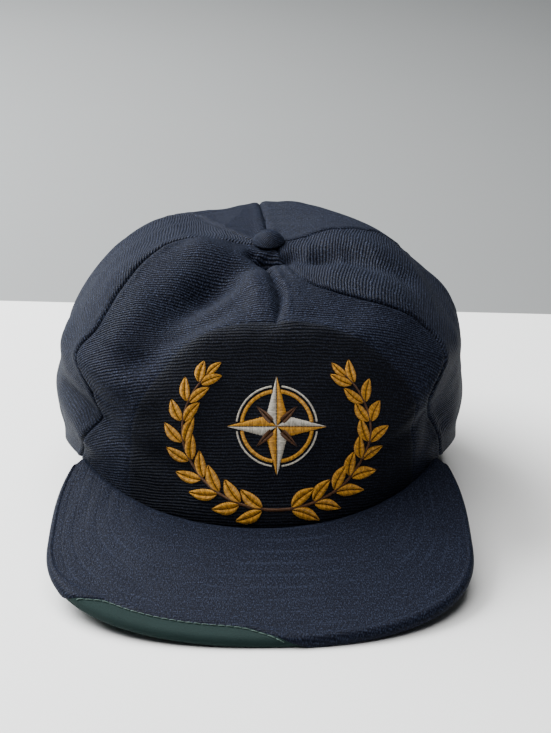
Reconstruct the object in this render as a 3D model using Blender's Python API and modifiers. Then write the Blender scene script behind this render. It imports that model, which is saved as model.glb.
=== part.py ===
"""Five-panel snapback cap resting on a table, its front facing -Y. Metres, +Z up.

The crown is one surface, crown_point(angle, rise), lofted through the sections of RINGS and
dented by FOLDS. Every cloth panel, the band inside and the strap are cut from that surface.
"""
import math

import bmesh
import bpy
import numpy as np

# Sizes, each of which can be set by itself
RIM_HALF_WIDTH = 0.0940        # side to side, at the rim
RIM_HALF_LENGTH = 0.1003       # front to back, at the rim
CROWN_HEIGHT = 0.1160          # from the table to the cloth under the button
CLOTH = 0.0016                 # wall of a crown panel
GAP = 0.0003                   # clearance between pieces that touch
SEAM_GAP = 0.0006              # between two panels, in which their seam lies
SEAM_HEIGHT = 0.0200           # visor seam above the table, at the centre
VISOR_END_RISE = 0.0042        # how much the visor curves up towards its ends
VISOR_LIFT = 0.0036            # how much its left front corner is bent up
VISOR_HALF_WIDTH = 0.0910
VISOR_DEPTH = 0.0705           # from the seam to the front edge
VISOR_ARCH = 0.0010            # drop of the visor's sides below its middle
VISOR_BOARD = 0.0030           # stiff board with its top cloth
UNDER_CLOTH = 0.0012           # wall of the cloth below the board and round its edge
LIP = 0.0044                   # how far the under cloth turns over the top, at the front left
LIP_SIDE = 0.0026              # the same at both sides, where the turn runs out
OPENING_HALF_WIDTH = 0.447 * RIM_HALF_WIDTH    # half-moon at the back
OPENING_HEIGHT = 0.0460
BAND_HEIGHT = 0.0260           # sweatband inside the rim
BAND_WALL = 0.0012
BAND_GAP = 0.0010              # between the band and the panels, which fold
STRAP_HEIGHT = 0.0190
STRAP_WALL = 0.0013
STRAP_LIFT = 0.0022            # lower edge of the strap above the table
STRAP_TAB = 0.0120             # length of strap tucked behind each back panel
STUD_RADIUS = 0.0030
STUD_HEIGHT = 0.0016
STUD_COUNT = 5
STUD_SPACING = 0.0100
BUTTON_RADIUS = 0.0074
BUTTON_HEIGHT = 0.0058
BUTTON_HOLE = 0.0050           # where the panels stop short of the centre

# Angles round the crown, in degrees from the front, positive towards +X
VISOR_END = 58.5
VISOR_CORNER = 2.34            # roundness of the visor in plan
VISOR_SIDE = 3.30              # how late its sides turn in towards their ends

# Sections from the rim to the button. rise: share of the way up the cloth. width, front, back:
# reach from the middle, as shares of the rim's half width and half length. lean: sideways shift,
# as a share of the rim's half width. front_z, side_z, back_z: heights as shares of the crown's
# height. corner: roundness in plan, 2 for an ellipse, more for a boxier one. rim: how much of
# the rim's rise to the visor's ends this section still follows.
RING_NAMES = ("rise", "width", "front", "back", "lean", "front_z", "side_z", "back_z",
              "corner_front", "corner_back", "rim")
RINGS = (
    (0.00, 1.000, 1.000, 1.000, 0.000, 0.129, 0.165, 0.000, 2.05, 2.00, 1.00),
    (0.035, 1.000, 1.000, 1.000, 0.000, 0.176, 0.213, 0.047, 2.05, 2.00, 0.92),
    (0.10, 1.013, 0.962, 1.012, -0.002, 0.270, 0.300, 0.135, 2.15, 2.02, 0.75),
    (0.20, 1.018, 0.905, 1.010, -0.003, 0.420, 0.430, 0.300, 2.40, 2.10, 0.42),
    (0.32, 1.000, 0.838, 0.985, 0.008, 0.575, 0.575, 0.490, 2.75, 2.20, 0.18),
    (0.44, 0.968, 0.768, 0.935, 0.014, 0.730, 0.700, 0.670, 3.05, 2.30, 0.05),
    (0.54, 0.868, 0.700, 0.860, -0.003, 0.842, 0.808, 0.815, 3.00, 2.35, 0.00),
    (0.62, 0.772, 0.610, 0.775, -0.009, 0.880, 0.893, 0.925, 2.80, 2.35, 0.00),
    (0.72, 0.618, 0.470, 0.640, -0.004, 0.915, 0.975, 1.005, 2.50, 2.25, 0.00),
    (0.84, 0.400, 0.285, 0.430, 0.014, 0.955, 1.018, 1.028, 2.20, 2.10, 0.00),
    (0.94, 0.190, 0.140, 0.210, 0.034, 0.985, 1.012, 1.016, 2.00, 2.00, 0.00),
    (1.00, 0.040, 0.036, 0.040, 0.042, 1.000, 1.003, 1.004, 2.00, 2.00, 0.00),
)

# Seams, as angles in degrees at ten shares of the way up
SEAM_RISE = (0.00, 0.13, 0.21, 0.30, 0.42, 0.54, 0.66, 0.76, 0.86, 1.00)
SEAMS = {
    "front_left": (-58.5, -52.5, -48.5, -50.0, -58.6, -55.5, -61.0, -72.0, -85.0, -84.0),
    "front_right": (58.5, 57.0, 53.0, 47.8, 55.0, 55.0, 43.0, 29.5, 27.0, 34.0),
    "back_left": (-123.0, -123.5, -124.0, -125.0, -128.0, -135.0, -144.0, -147.0, -140.0, -126.0),
    "back_right": (123.0, 123.5, 124.0, 123.6, 122.5, 120.0, 115.5, 113.0, 113.0, 112.0),
}

# Folds of the cloth: from one place to another on the crown, as angle in degrees and rise, with
# width and depth as shares of the crown's height. Positive depth stands out, negative is pushed
# in. edge: 2 for a soft swell, towards 1 for a crease.
FOLD_NAMES = ("name", "angle_0", "rise_0", "angle_1", "rise_1", "width", "depth", "edge")
FOLDS = (
    ("hollow_before_button", -20.0, 0.95, 25.0, 0.92, 0.080, -0.026, 2.0),
    ("dart_top", -8.0, 0.95, 7.0, 0.86, 0.028, -0.012, 1.6),
    ("dart_middle", 7.0, 0.86, 11.0, 0.72, 0.030, -0.014, 1.6),
    ("dart_foot", 11.0, 0.72, 7.0, 0.59, 0.026, -0.012, 1.6),
    ("pleat_beside_dart", 21.0, 0.85, 18.0, 0.66, 0.045, 0.010, 2.0),
    ("lobe_beside_dart", -14.0, 0.86, 0.0, 0.75, 0.065, 0.022, 2.0),
    ("lobe_foot", 0.0, 0.75, 1.0, 0.65, 0.050, 0.016, 2.0),
    ("front_left_lobe", -78.0, 0.85, -52.0, 0.92, 0.110, 0.032, 2.0),
    ("front_left_shoulder", -64.0, 0.62, -76.0, 0.78, 0.060, 0.018, 2.0),
    ("front_left_valley_top", -24.0, 0.83, -32.0, 0.70, 0.085, -0.064, 2.0),
    ("front_left_valley", -32.0, 0.70, -38.0, 0.48, 0.100, -0.064, 2.0),
    ("front_left_slope", -16.0, 0.66, -29.0, 0.46, 0.090, -0.016, 2.0),
    ("plate_edge_left", -40.0, 0.37, -22.0, 0.52, 0.048, 0.018, 1.8),
    ("plate_edge_top", -22.0, 0.52, 0.0, 0.60, 0.048, 0.014, 1.8),
    ("plate_edge_right", 8.0, 0.60, 30.0, 0.53, 0.045, 0.012, 1.8),
    ("plate_edge_low_right", 32.0, 0.51, 43.0, 0.34, 0.050, 0.014, 1.8),
    ("front_right_bulge", 52.0, 0.40, 41.0, 0.26, 0.080, 0.026, 2.0),
    ("waist_right", 50.0, 0.22, 60.0, 0.12, 0.085, -0.046, 2.0),
    ("waist_front_right", 26.0, 0.14, 46.0, 0.21, 0.050, -0.020, 2.0),
    ("waist_left", -66.0, 0.25, -46.0, 0.22, 0.070, -0.048, 1.8),
    ("waist_front_left", -48.0, 0.21, -20.0, 0.15, 0.050, -0.018, 2.0),
    ("foot_left", -60.0, 0.11, -46.0, 0.11, 0.055, 0.012, 2.0),
    ("front_left_bulge", -52.0, 0.41, -36.0, 0.33, 0.075, 0.020, 2.0),
    ("side_left_ridge", -78.0, 0.44, -66.0, 0.34, 0.070, 0.012, 2.0),
    ("side_right_valley_top", 50.0, 0.90, 71.0, 0.83, 0.070, -0.048, 2.0),
    ("side_right_valley", 71.0, 0.83, 76.0, 0.66, 0.080, -0.048, 2.0),
    ("side_right_roll", 46.0, 0.76, 60.0, 0.54, 0.075, 0.018, 2.0),
    ("side_right_shoulder", 97.0, 0.45, 110.0, 0.52, 0.080, 0.018, 2.0),
    ("side_right_flat", 78.0, 0.28, 80.0, 0.39, 0.080, -0.013, 2.0),
    ("side_right_top", 112.0, 0.61, 114.0, 0.63, 0.060, -0.012, 2.0),
    ("back_left_dip", -128.0, 0.76, -158.0, 0.86, 0.230, -0.034, 2.0),
    ("back_left_shoulder", -150.0, 0.69, -122.0, 0.62, 0.100, 0.020, 2.0),
    ("back_left_crest", -171.0, 0.71, -158.0, 0.70, 0.070, -0.013, 2.0),
    ("back_right_crest", 158.0, 0.72, 172.0, 0.73, 0.070, 0.012, 2.0),
    ("back_right_dent", 140.0, 0.52, 152.0, 0.40, 0.130, -0.022, 2.0),
    ("back_left_dent", -146.0, 0.50, -136.0, 0.36, 0.120, -0.018, 2.0),
)


def table_column(names, rows, name):
    """One named column of a table."""
    k = names.index(name)
    return np.array([row[k] for row in rows], float)


def smooth(x, xs, ys):
    """A smooth line through the points of a column."""
    xs = np.asarray(xs, float)
    ys = np.asarray(ys, float)
    x = np.clip(np.asarray(x, float), xs[0], xs[-1])
    slope = np.gradient(ys, xs)
    k = np.clip(np.searchsorted(xs, x, side="right") - 1, 0, len(xs) - 2)
    step = xs[k + 1] - xs[k]
    s = (x - xs[k]) / step
    return ((2 * s**3 - 3 * s**2 + 1) * ys[k] + (s**3 - 2 * s**2 + s) * step * slope[k]
            + (3 * s**2 - 2 * s**3) * ys[k + 1] + (s**3 - s**2) * step * slope[k + 1])


RISE = table_column(RING_NAMES, RINGS, "rise")
COLUMN = {name: table_column(RING_NAMES, RINGS, name) for name in RING_NAMES}


def ring(name, rise):
    return smooth(rise, RISE, COLUMN[name])


VISOR_THICKNESS = VISOR_BOARD + GAP + UNDER_CLOTH
END_Y = -RIM_HALF_LENGTH * math.cos(math.radians(VISOR_END))


def visor_top(x, y):
    """Height of the visor's top surface, which slopes down to the table in front."""
    slope = (SEAM_HEIGHT - VISOR_THICKNESS) / (VISOR_DEPTH - VISOR_THICKNESS / 2)
    back = np.clip((y + RIM_HALF_LENGTH) / (END_Y + RIM_HALF_LENGTH), 0.0, 1.2)
    arch = VISOR_ARCH * (x / VISOR_HALF_WIDTH)**2
    ahead = np.clip((END_Y - y) / (END_Y + RIM_HALF_LENGTH + VISOR_DEPTH), 0.0, 1.0)
    bend = VISOR_LIFT * np.clip(-x / VISOR_HALF_WIDTH, 0.0, 1.1)**1.3 * ahead
    return SEAM_HEIGHT + (y + RIM_HALF_LENGTH) * slope + VISOR_END_RISE * back**2 - arch + bend


def rim_height(x, y):
    """The rim follows the visor's underside in front and falls from its ends to the table."""
    end_x = RIM_HALF_WIDTH * math.sin(math.radians(VISOR_END))
    rest_y = 0.70 * RIM_HALF_LENGTH
    ahead = visor_top(x, y) - VISOR_THICKNESS
    top = visor_top(end_x, END_Y) - VISOR_THICKNESS
    share = np.clip((rest_y - y) / (rest_y - END_Y), 0.0, 1.0)
    return np.where(y < END_Y, ahead, top * np.sin(math.pi / 2 * share)**1.7)


def plan(angle, width, front, back, corner_front, corner_back):
    """Reach of a section in plan along a direction given by its angle."""
    s = np.abs(np.sin(angle))
    c = np.abs(np.cos(angle))
    ahead = np.cos(angle) > 0
    length = np.where(ahead, front, back)
    corner = np.where(ahead, corner_front, corner_back)
    return ((s / width)**corner + (c / length)**corner)**(-1.0 / corner)


def fold_depth(angle, rise):
    """Sum of all folds at places on the crown."""
    total = np.zeros(np.broadcast(angle, rise).shape)
    reach = 0.5 * (ring("width", rise) * RIM_HALF_WIDTH + ring("front", rise) * RIM_HALF_LENGTH)
    climb = 1.45 * CROWN_HEIGHT
    for name, a0, r0, a1, r1, width, depth, edge in FOLDS:
        a0 = math.radians(a0)
        a1 = math.radians(a1)
        middle = (a0 + a1) / 2
        turned = middle + (angle - middle + math.pi) % (2 * math.pi) - math.pi
        x = (turned - a0) * reach
        y = (rise - r0) * climb
        dx = (a1 - a0) * reach
        dy = (r1 - r0) * climb
        along = np.clip((x * dx + y * dy) / (dx * dx + dy * dy + 1e-9), 0.0, 1.0)
        away = np.hypot(x - along * dx, y - along * dy) / (width * CROWN_HEIGHT)
        fade = 0.55 + 0.45 * np.sin(math.pi * np.clip(along, 0.0, 1.0))
        total = total + depth * CROWN_HEIGHT * fade * np.exp(-away**edge)
    return total


def bare_point(angle, rise):
    """The crown before its folds."""
    width = ring("width", rise) * RIM_HALF_WIDTH
    front = ring("front", rise) * RIM_HALF_LENGTH
    back = ring("back", rise) * RIM_HALF_LENGTH
    reach = plan(angle, width, front, back, ring("corner_front", rise), ring("corner_back", rise))
    x = reach * np.sin(angle) + ring("lean", rise) * RIM_HALF_WIDTH
    y = -reach * np.cos(angle)
    ahead = np.cos(angle) > 0
    share = np.cos(angle)**2
    end_z = np.where(ahead, ring("front_z", rise), ring("back_z", rise)) * CROWN_HEIGHT
    side_z = ring("side_z", rise) * CROWN_HEIGHT
    z = side_z + (end_z - side_z) * share
    # at the rim itself the table above gives way to the true rim line
    foot = plan(angle, RIM_HALF_WIDTH, RIM_HALF_LENGTH, RIM_HALF_LENGTH, RINGS[0][8], RINGS[0][9])
    foot_end = np.where(ahead, RINGS[0][5], RINGS[0][7]) * CROWN_HEIGHT
    foot_z = RINGS[0][6] * CROWN_HEIGHT + (foot_end - RINGS[0][6] * CROWN_HEIGHT) * share
    rim_z = rim_height(foot * np.sin(angle), -foot * np.cos(angle))
    z = z + ring("rim", rise) * (rim_z - foot_z)
    return np.stack(np.broadcast_arrays(x, y, z), -1)


def bare_normal(angle, rise):
    """Outward direction of the bare crown."""
    step = 1e-3
    low = np.clip(rise - step, 0.0, 1.0)
    high = np.clip(rise + step, 0.0, 1.0)
    across = bare_point(angle + step, rise) - bare_point(angle - step, rise)
    up = bare_point(angle, high) - bare_point(angle, low)
    normal = np.cross(across, up)
    return normal / np.linalg.norm(normal, axis=-1, keepdims=True)


def crown_point(angle, rise, inward=0.0):
    """The outer face of the crown's cloth, or a layer lying inward of it. The rim keeps its line,
    so the folds fade in above it."""
    fade = np.clip((np.asarray(rise) - 0.035) / 0.06, 0.0, 1.0)
    depth = fade * fold_depth(angle, rise) - inward
    return bare_point(angle, rise) + bare_normal(angle, rise) * depth[..., None]


def seam_angle(name, rise):
    return np.radians(smooth(rise, SEAM_RISE, SEAMS[name]))


def outline_points():
    """The visor's outer edge in plan, from its left end round the front to its right end."""
    end_x = RIM_HALF_WIDTH * math.sin(math.radians(VISOR_END))
    front_y = -RIM_HALF_LENGTH - VISOR_DEPTH
    widest_y = front_y + 0.838 * VISOR_DEPTH
    turn = np.linspace(0.0, math.pi, 161)
    x = -VISOR_HALF_WIDTH * np.sign(np.cos(turn)) * np.abs(np.cos(turn))**(2 / VISOR_CORNER)
    y = widest_y - (widest_y - front_y) * np.sin(turn)**(2 / VISOR_CORNER)
    back = np.linspace(0.0, 1.0, 41)[1:]
    side_x = VISOR_HALF_WIDTH - (VISOR_HALF_WIDTH - end_x) * back**VISOR_SIDE
    side_y = widest_y + (END_Y - widest_y) * back
    x = np.concatenate([-side_x[::-1], x, side_x])
    y = np.concatenate([side_y[::-1], y, side_y])
    return x, y


def visor_plan(u, out):
    """Place in plan on the visor. u runs from -1 at its left end to 1, out from seam to edge."""
    x, y = outline_points()
    length = np.concatenate([[0.0], np.cumsum(np.hypot(np.diff(x), np.diff(y)))])
    edge_x = np.interp((u + 1) / 2 * length[-1], length, x)
    edge_y = np.interp((u + 1) / 2 * length[-1], length, y)
    angle = u * math.radians(VISOR_END)
    reach = GAP + plan(angle, RIM_HALF_WIDTH, RIM_HALF_LENGTH, RIM_HALF_LENGTH,
                       RINGS[0][8], RINGS[0][9])
    seam_x = reach * np.sin(angle)
    seam_y = -reach * np.cos(angle)
    return seam_x + (edge_x - seam_x) * out, seam_y + (edge_y - seam_y) * out


def visor_width(u):
    """Distance from the seam to the edge along a line of the visor."""
    x0, y0 = visor_plan(u, 0.0)
    x1, y1 = visor_plan(u, 1.0)
    return np.hypot(x1 - x0, y1 - y0)
# end of the form


def lip_width(u):
    """How far the under cloth turns over the top along the edge."""
    share = np.clip((np.abs(u + 0.21) - 0.18) / 0.16, 0.0, 1.0)
    return LIP + (LIP_SIDE - LIP) * share


def under_rows(u):
    """Distance in from the edge and height above the underside, along the cloth's section."""
    radius = VISOR_THICKNESS / 2
    width = visor_width(u)
    rows = [(width + (radius - width) * k / 4, 0.0) for k in range(4)]
    for k in range(6):
        turn = math.pi * k / 5
        rows.append((radius - radius * math.sin(turn), radius - radius * math.cos(turn)))
    rows.append((lip_width(u), VISOR_THICKNESS))
    return rows


def rise_of_reach(reach):
    """How far up the cloth a section has this half width, near the button."""
    rises = np.linspace(0.84, 1.0, 400)
    widths = ring("width", rises) * RIM_HALF_WIDTH
    return float(rises[np.argmin(np.abs(widths - reach))])


CLIMB = 1.45 * CROWN_HEIGHT    # length of cloth from the rim to the button
VISOR_STATIONS = 31


def clean_scene():
    for item in list(bpy.data.objects):
        bpy.data.objects.remove(item, do_unlink=True)


def make_material(name, colour, roughness):
    material = bpy.data.materials.new(name)
    material.use_nodes = True
    shader = material.node_tree.nodes["Principled BSDF"]
    shader.inputs["Base Color"].default_value = (*colour, 1.0)
    shader.inputs["Roughness"].default_value = roughness
    shader.inputs["Metallic"].default_value = 0.0
    return material


def surface_form(points):
    """A mesh surface through rows of points, each vertex numbered by its place in the rows."""
    rows, columns = points.shape[:2]
    form = bmesh.new()
    number = form.verts.layers.int.new("number")
    grid = []
    for r in range(rows):
        grid.append([form.verts.new(points[r, c]) for c in range(columns)])
        for c in range(columns):
            grid[r][c][number] = r * columns + c
    for r in range(rows - 1):
        for c in range(columns - 1):
            form.faces.new((grid[r][c], grid[r][c + 1], grid[r + 1][c + 1], grid[r + 1][c]))
    return form, number


def add_mesh(name, form, material, collection):
    mesh = bpy.data.meshes.new(name)
    form.to_mesh(mesh)
    form.free()
    mesh.materials.append(material)
    mesh.shade_smooth()
    mesh.set_sharp_from_angle(angle=math.radians(50))
    piece = bpy.data.objects.new(name, mesh)
    collection.objects.link(piece)
    return piece


def add_sheet(name, points, wall, material, collection):
    """An open surface through rows of points, thickened inward to a closed wall."""
    form, number = surface_form(points)
    piece = add_mesh(name, form, material, collection)
    solid = piece.modifiers.new("wall", "SOLIDIFY")
    solid.thickness = wall
    solid.offset = -1.0
    return piece


def add_layer(name, outer, inner, material, collection):
    """An open surface extruded to a second one. Both lie at set depths inside the crown, so
    neighbours that share an edge of the crown stay clear of each other however it folds."""
    form, number = surface_form(outer)
    made = bmesh.ops.extrude_face_region(form, geom=form.faces[:])
    flat = inner.reshape(-1, 3)
    for vertex in made["geom"]:
        if isinstance(vertex, bmesh.types.BMVert):
            vertex.co = flat[vertex[number]]
    bmesh.ops.recalc_face_normals(form, faces=form.faces[:])
    return add_mesh(name, form, material, collection)


def seam_gap_angle(angle, rise):
    """Angle that half the gap between two panels takes up."""
    step = 1e-3
    length = np.linalg.norm(bare_point(angle + step, rise) - bare_point(angle - step, rise), axis=-1)
    return 0.5 * SEAM_GAP / (length / (2 * step))


def panel_points(left, right, rises, columns):
    """Rows of a panel between two seams, for its outer and its inner face."""
    points = []
    for rise in rises:
        a0 = float(seam_angle(left, rise))
        a1 = float(seam_angle(right, rise))
        a0 += float(seam_gap_angle(a0, rise))
        a1 -= float(seam_gap_angle(a1, rise))
        angle = np.linspace(a0, a1, columns)
        points.append([crown_point(angle, np.full(columns, rise)),
                       crown_point(angle, np.full(columns, rise), CLOTH)])
    return np.array(points).transpose(1, 0, 2, 3)


def opening_angle():
    """Half the back opening, as an angle from the back of the rim."""
    return math.asin(OPENING_HALF_WIDTH / RIM_HALF_WIDTH)


def back_panel_points(side, rises_up, plain_columns, arch_columns):
    """Rows of a back panel, whose foot follows the half-moon opening, outer and inner face."""
    seam = "back_right" if side > 0 else "back_left"
    half = opening_angle()
    low_seam = abs(float(seam_angle(seam, 0.0)))
    top_rise = OPENING_HEIGHT / CLIMB
    columns = []
    for k in range(plain_columns):
        columns.append((k / plain_columns * 1.0, 0.0))
    for k in range(arch_columns + 1):
        turn = math.pi / 2 * (k / arch_columns)**0.85
        columns.append((1.0 + k / arch_columns, top_rise * math.sin(turn)))
    points = np.zeros((2, len(rises_up), len(columns), 3))
    for r, up in enumerate(rises_up):
        for c, (place, foot) in enumerate(columns):
            rise = TOP_RISE * up + foot * (1.0 - up)**2
            seam_side = abs(float(seam_angle(seam, rise)))
            start = seam_side + float(seam_gap_angle(side * seam_side, rise))
            end = math.pi - float(seam_gap_angle(math.pi, rise))
            if place < 1.0:
                low = low_seam + (math.pi - half - low_seam) * place
            else:
                low = math.pi - half * math.cos(math.pi / 2 * (place - 1.0)**0.85)
            # the columns close up as the seam runs in towards the middle of the back
            share = (low - low_seam) / (math.pi - low_seam)
            angle = start + (end - start) * share
            points[0, r, c] = crown_point(np.array(side * angle), np.array(rise))
            points[1, r, c] = crown_point(np.array(side * angle), np.array(rise), CLOTH)
    if side < 0:
        points = points[:, :, ::-1]
    return points


def add_panels(collection, navy):
    # neighbours share the rows' rises, so their edges run side by side along a seam
    rises = np.concatenate([[0.0], np.linspace(0.035, TOP_RISE, 23)])
    panels = {
        "front_panel": panel_points("front_left", "front_right", rises, 26),
        "right_side_panel": panel_points("front_right", "back_right", rises, 12),
        "left_side_panel": panel_points("back_left", "front_left", rises, 12),
        "right_back_panel": back_panel_points(1, rises / TOP_RISE, 5, 7),
        "left_back_panel": back_panel_points(-1, rises / TOP_RISE, 5, 7),
    }
    for name, (outer, inner) in panels.items():
        add_layer(name, outer, inner, navy, collection)


def add_visor(collection, navy, green):
    # the visor's ends stop where it is still a little wider than its turned edge
    end = 1.0
    while visor_width(end) < 2.2 * LIP:
        end -= 0.002
    even = np.linspace(-end, end, VISOR_STATIONS)
    crowded = end * np.sin(np.linspace(-math.pi / 2, math.pi / 2, VISOR_STATIONS))
    stations = 0.55 * even + 0.45 * crowded
    top = np.zeros((7, len(stations), 3))
    under = np.zeros((11, len(stations), 3))
    for c, u in enumerate(stations):
        width = float(visor_width(u))
        for r in range(7):
            out = r / 6 * (1.0 - (float(lip_width(u)) + 2.5 * GAP) / width)
            x, y = visor_plan(u, out)
            top[6 - r, c] = (x, y, visor_top(x, y))
        for r, (inside, height) in enumerate(under_rows(u)):
            x, y = visor_plan(u, 1.0 - inside / width)
            under[r, c] = (x, y, visor_top(x, y) - VISOR_THICKNESS + height)
    bottom = top - np.array([0.0, 0.0, VISOR_BOARD])
    add_layer("visor_top_cloth", top, bottom, navy, collection)
    add_sheet("visor_under_cloth", under, UNDER_CLOTH, green, collection)


def add_band(collection, cloth):
    """The sweatband, inside the rim from one end of the strap to the other."""
    half = opening_angle() + (STRAP_TAB + 3 * GAP) / RIM_HALF_LENGTH
    angles = np.linspace(-math.pi + half, math.pi - half, 61)
    rises = np.array([0.01, 0.22, 0.48, 0.74, 1.0]) * BAND_HEIGHT / CLIMB
    layers = []
    for inward in (CLOTH + BAND_GAP, CLOTH + BAND_GAP + BAND_WALL):
        layers.append(np.array([crown_point(angles, np.full(61, rise), inward) for rise in rises]))
    add_layer("sweatband", layers[0], layers[1], cloth, collection)


def add_strap(collection, cutters, plastic):
    """The snap strap across the half-moon, one plain strip with its studs in relief."""
    half = opening_angle() + STRAP_TAB / RIM_HALF_LENGTH
    angles = np.linspace(math.pi - half, math.pi + half, 29)
    low = STRAP_LIFT / CLIMB
    high = (STRAP_LIFT + STRAP_HEIGHT) / CLIMB
    layers = []
    for inward in (CLOTH + GAP, CLOTH + GAP + STRAP_WALL):
        layers.append(np.array([crown_point(angles, np.full(29, rise), inward)
                                for rise in np.linspace(low, high, 4)]))
    strap = add_layer("snap_strap", layers[0], layers[1], plastic, collection)
    middle = (low + high) / 2
    for k in range(STUD_COUNT):
        angle = math.pi + (k - (STUD_COUNT - 1) / 2) * STUD_SPACING / RIM_HALF_LENGTH
        seat = crown_point(np.array(angle), np.array(middle), CLOTH + GAP)
        normal = bare_normal(np.array(angle), np.array(middle))
        bpy.ops.mesh.primitive_cylinder_add(vertices=12, radius=STUD_RADIUS,
                                            depth=STUD_HEIGHT + STRAP_WALL)
        stud = bpy.context.object
        stud.name = "stud_" + str(k)
        stud.location = seat + normal * (STUD_HEIGHT - STRAP_WALL) / 2 * 0.9
        stud.rotation_euler = (math.pi / 2, 0.0, math.atan2(normal[1], normal[0]) + math.pi / 2)
        stud.hide_render = True
        stud.display_type = "WIRE"
        for home in list(stud.users_collection):
            home.objects.unlink(stud)
        cutters.objects.link(stud)
        join = strap.modifiers.new("stud_" + str(k), "BOOLEAN")
        join.operation = "UNION"
        join.solver = "EXACT"
        join.object = stud


def add_button(collection, navy):
    """Cloth-covered button: a low dome on the hole where the panels meet."""
    ring_angles = np.linspace(-math.pi, math.pi, 60)
    inner = rise_of_reach(BUTTON_RADIUS)
    seat = max(float(crown_point(ring_angles, np.full(60, rise))[:, 2].max())
               for rise in np.linspace(inner, TOP_RISE, 8)) + GAP
    centre = ring("lean", 1.0) * RIM_HALF_WIDTH
    profile = [(0.0, 1.0), (0.35, 0.97), (0.62, 0.86), (0.84, 0.66), (0.97, 0.38), (1.0, 0.18),
               (0.95, 0.0), (0.0, 0.0)]
    mesh = bpy.data.meshes.new("top_button")
    form = bmesh.new()
    points = [form.verts.new((r * BUTTON_RADIUS, 0.0, h * BUTTON_HEIGHT)) for r, h in profile]
    for a, b in zip(points, points[1:]):
        form.edges.new((a, b))
    form.to_mesh(mesh)
    form.free()
    mesh.materials.append(navy)
    button = bpy.data.objects.new("top_button", mesh)
    collection.objects.link(button)
    turn = button.modifiers.new("turn", "SCREW")
    turn.steps = 24
    turn.render_steps = 24
    turn.use_merge_vertices = True
    turn.merge_threshold = 0.0001
    turn.use_smooth_shade = True
    button.location = (float(centre), 0.0, seat)


TOP_RISE = rise_of_reach(BUTTON_HOLE)


def box_middle(collection):
    """Middle and lowest corner of the box round all pieces."""
    bpy.context.view_layer.update()
    depsgraph = bpy.context.evaluated_depsgraph_get()
    low = np.full(3, 1e9)
    high = np.full(3, -1e9)
    for piece in collection.objects:
        shape = piece.evaluated_get(depsgraph)
        mesh = shape.to_mesh()
        for vertex in mesh.vertices:
            place = np.array(shape.matrix_world @ vertex.co)
            low = np.minimum(low, place)
            high = np.maximum(high, place)
        shape.to_mesh_clear()
    return (low + high) / 2, low


def main():
    clean_scene()
    collection = bpy.data.collections.new("snapback_cap")
    cutters = bpy.data.collections.new("cutters")
    bpy.context.scene.collection.children.link(collection)
    bpy.context.scene.collection.children.link(cutters)
    navy = make_material("navy_knit", (0.045, 0.062, 0.105), 0.85)
    visor_navy = make_material("navy_twill", (0.050, 0.068, 0.112), 0.85)
    green = make_material("green_under_cloth", (0.010, 0.085, 0.058), 0.80)
    band = make_material("band_cloth", (0.030, 0.040, 0.070), 0.90)
    plastic = make_material("navy_plastic", (0.012, 0.016, 0.032), 0.45)
    add_panels(collection, navy)
    add_visor(collection, visor_navy, green)
    add_band(collection, band)
    add_strap(collection, cutters, plastic)
    add_button(collection, navy)
    middle, low = box_middle(collection)
    for piece in list(collection.objects) + list(cutters.objects):
        piece.location.x -= middle[0]
        piece.location.y -= middle[1]
        piece.location.z -= low[2]


main()
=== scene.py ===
# %% [markdown]
# # A snapback cap, built piece by piece
# The cap lies on a table with its visor towards us: a high crown of five knitted panels that has
# been crushed a little, a flat visor with a green cloth below, and embroidery on the front.
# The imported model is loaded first. It gives the places that every piece below has to keep to.

# %% The frame
import math

import bpy
import numpy as np
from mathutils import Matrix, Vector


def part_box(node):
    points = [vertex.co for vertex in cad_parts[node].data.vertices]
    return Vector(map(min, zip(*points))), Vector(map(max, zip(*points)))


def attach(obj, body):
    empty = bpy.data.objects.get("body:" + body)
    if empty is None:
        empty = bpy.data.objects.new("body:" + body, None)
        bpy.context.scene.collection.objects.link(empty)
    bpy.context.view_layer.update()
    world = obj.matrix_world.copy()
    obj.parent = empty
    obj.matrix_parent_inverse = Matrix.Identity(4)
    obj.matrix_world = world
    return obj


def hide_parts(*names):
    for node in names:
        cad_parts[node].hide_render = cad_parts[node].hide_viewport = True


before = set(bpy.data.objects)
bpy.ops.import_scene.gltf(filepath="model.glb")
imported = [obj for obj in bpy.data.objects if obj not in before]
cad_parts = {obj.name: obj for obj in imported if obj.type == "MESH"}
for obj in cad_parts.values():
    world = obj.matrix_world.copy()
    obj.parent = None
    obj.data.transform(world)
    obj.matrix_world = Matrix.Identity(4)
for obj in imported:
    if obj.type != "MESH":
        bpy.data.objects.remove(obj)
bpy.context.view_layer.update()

# %% [markdown]
# ## The shape of the crown
# A crown panel is cut flat and sewn to its neighbours, so the crown is one smooth surface with
# seams drawn on it. It is lofted through a few sections between the rim and the button. Folds
# are added as swells and creases along lines. All sizes are in metres.

# %% Sizes and sections
RIM_HALF_WIDTH = 0.0940
RIM_HALF_LENGTH = 0.1003
CROWN_HEIGHT = 0.1160
CLIMB = 1.45 * CROWN_HEIGHT     # way over the cloth from the rim to the button

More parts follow.
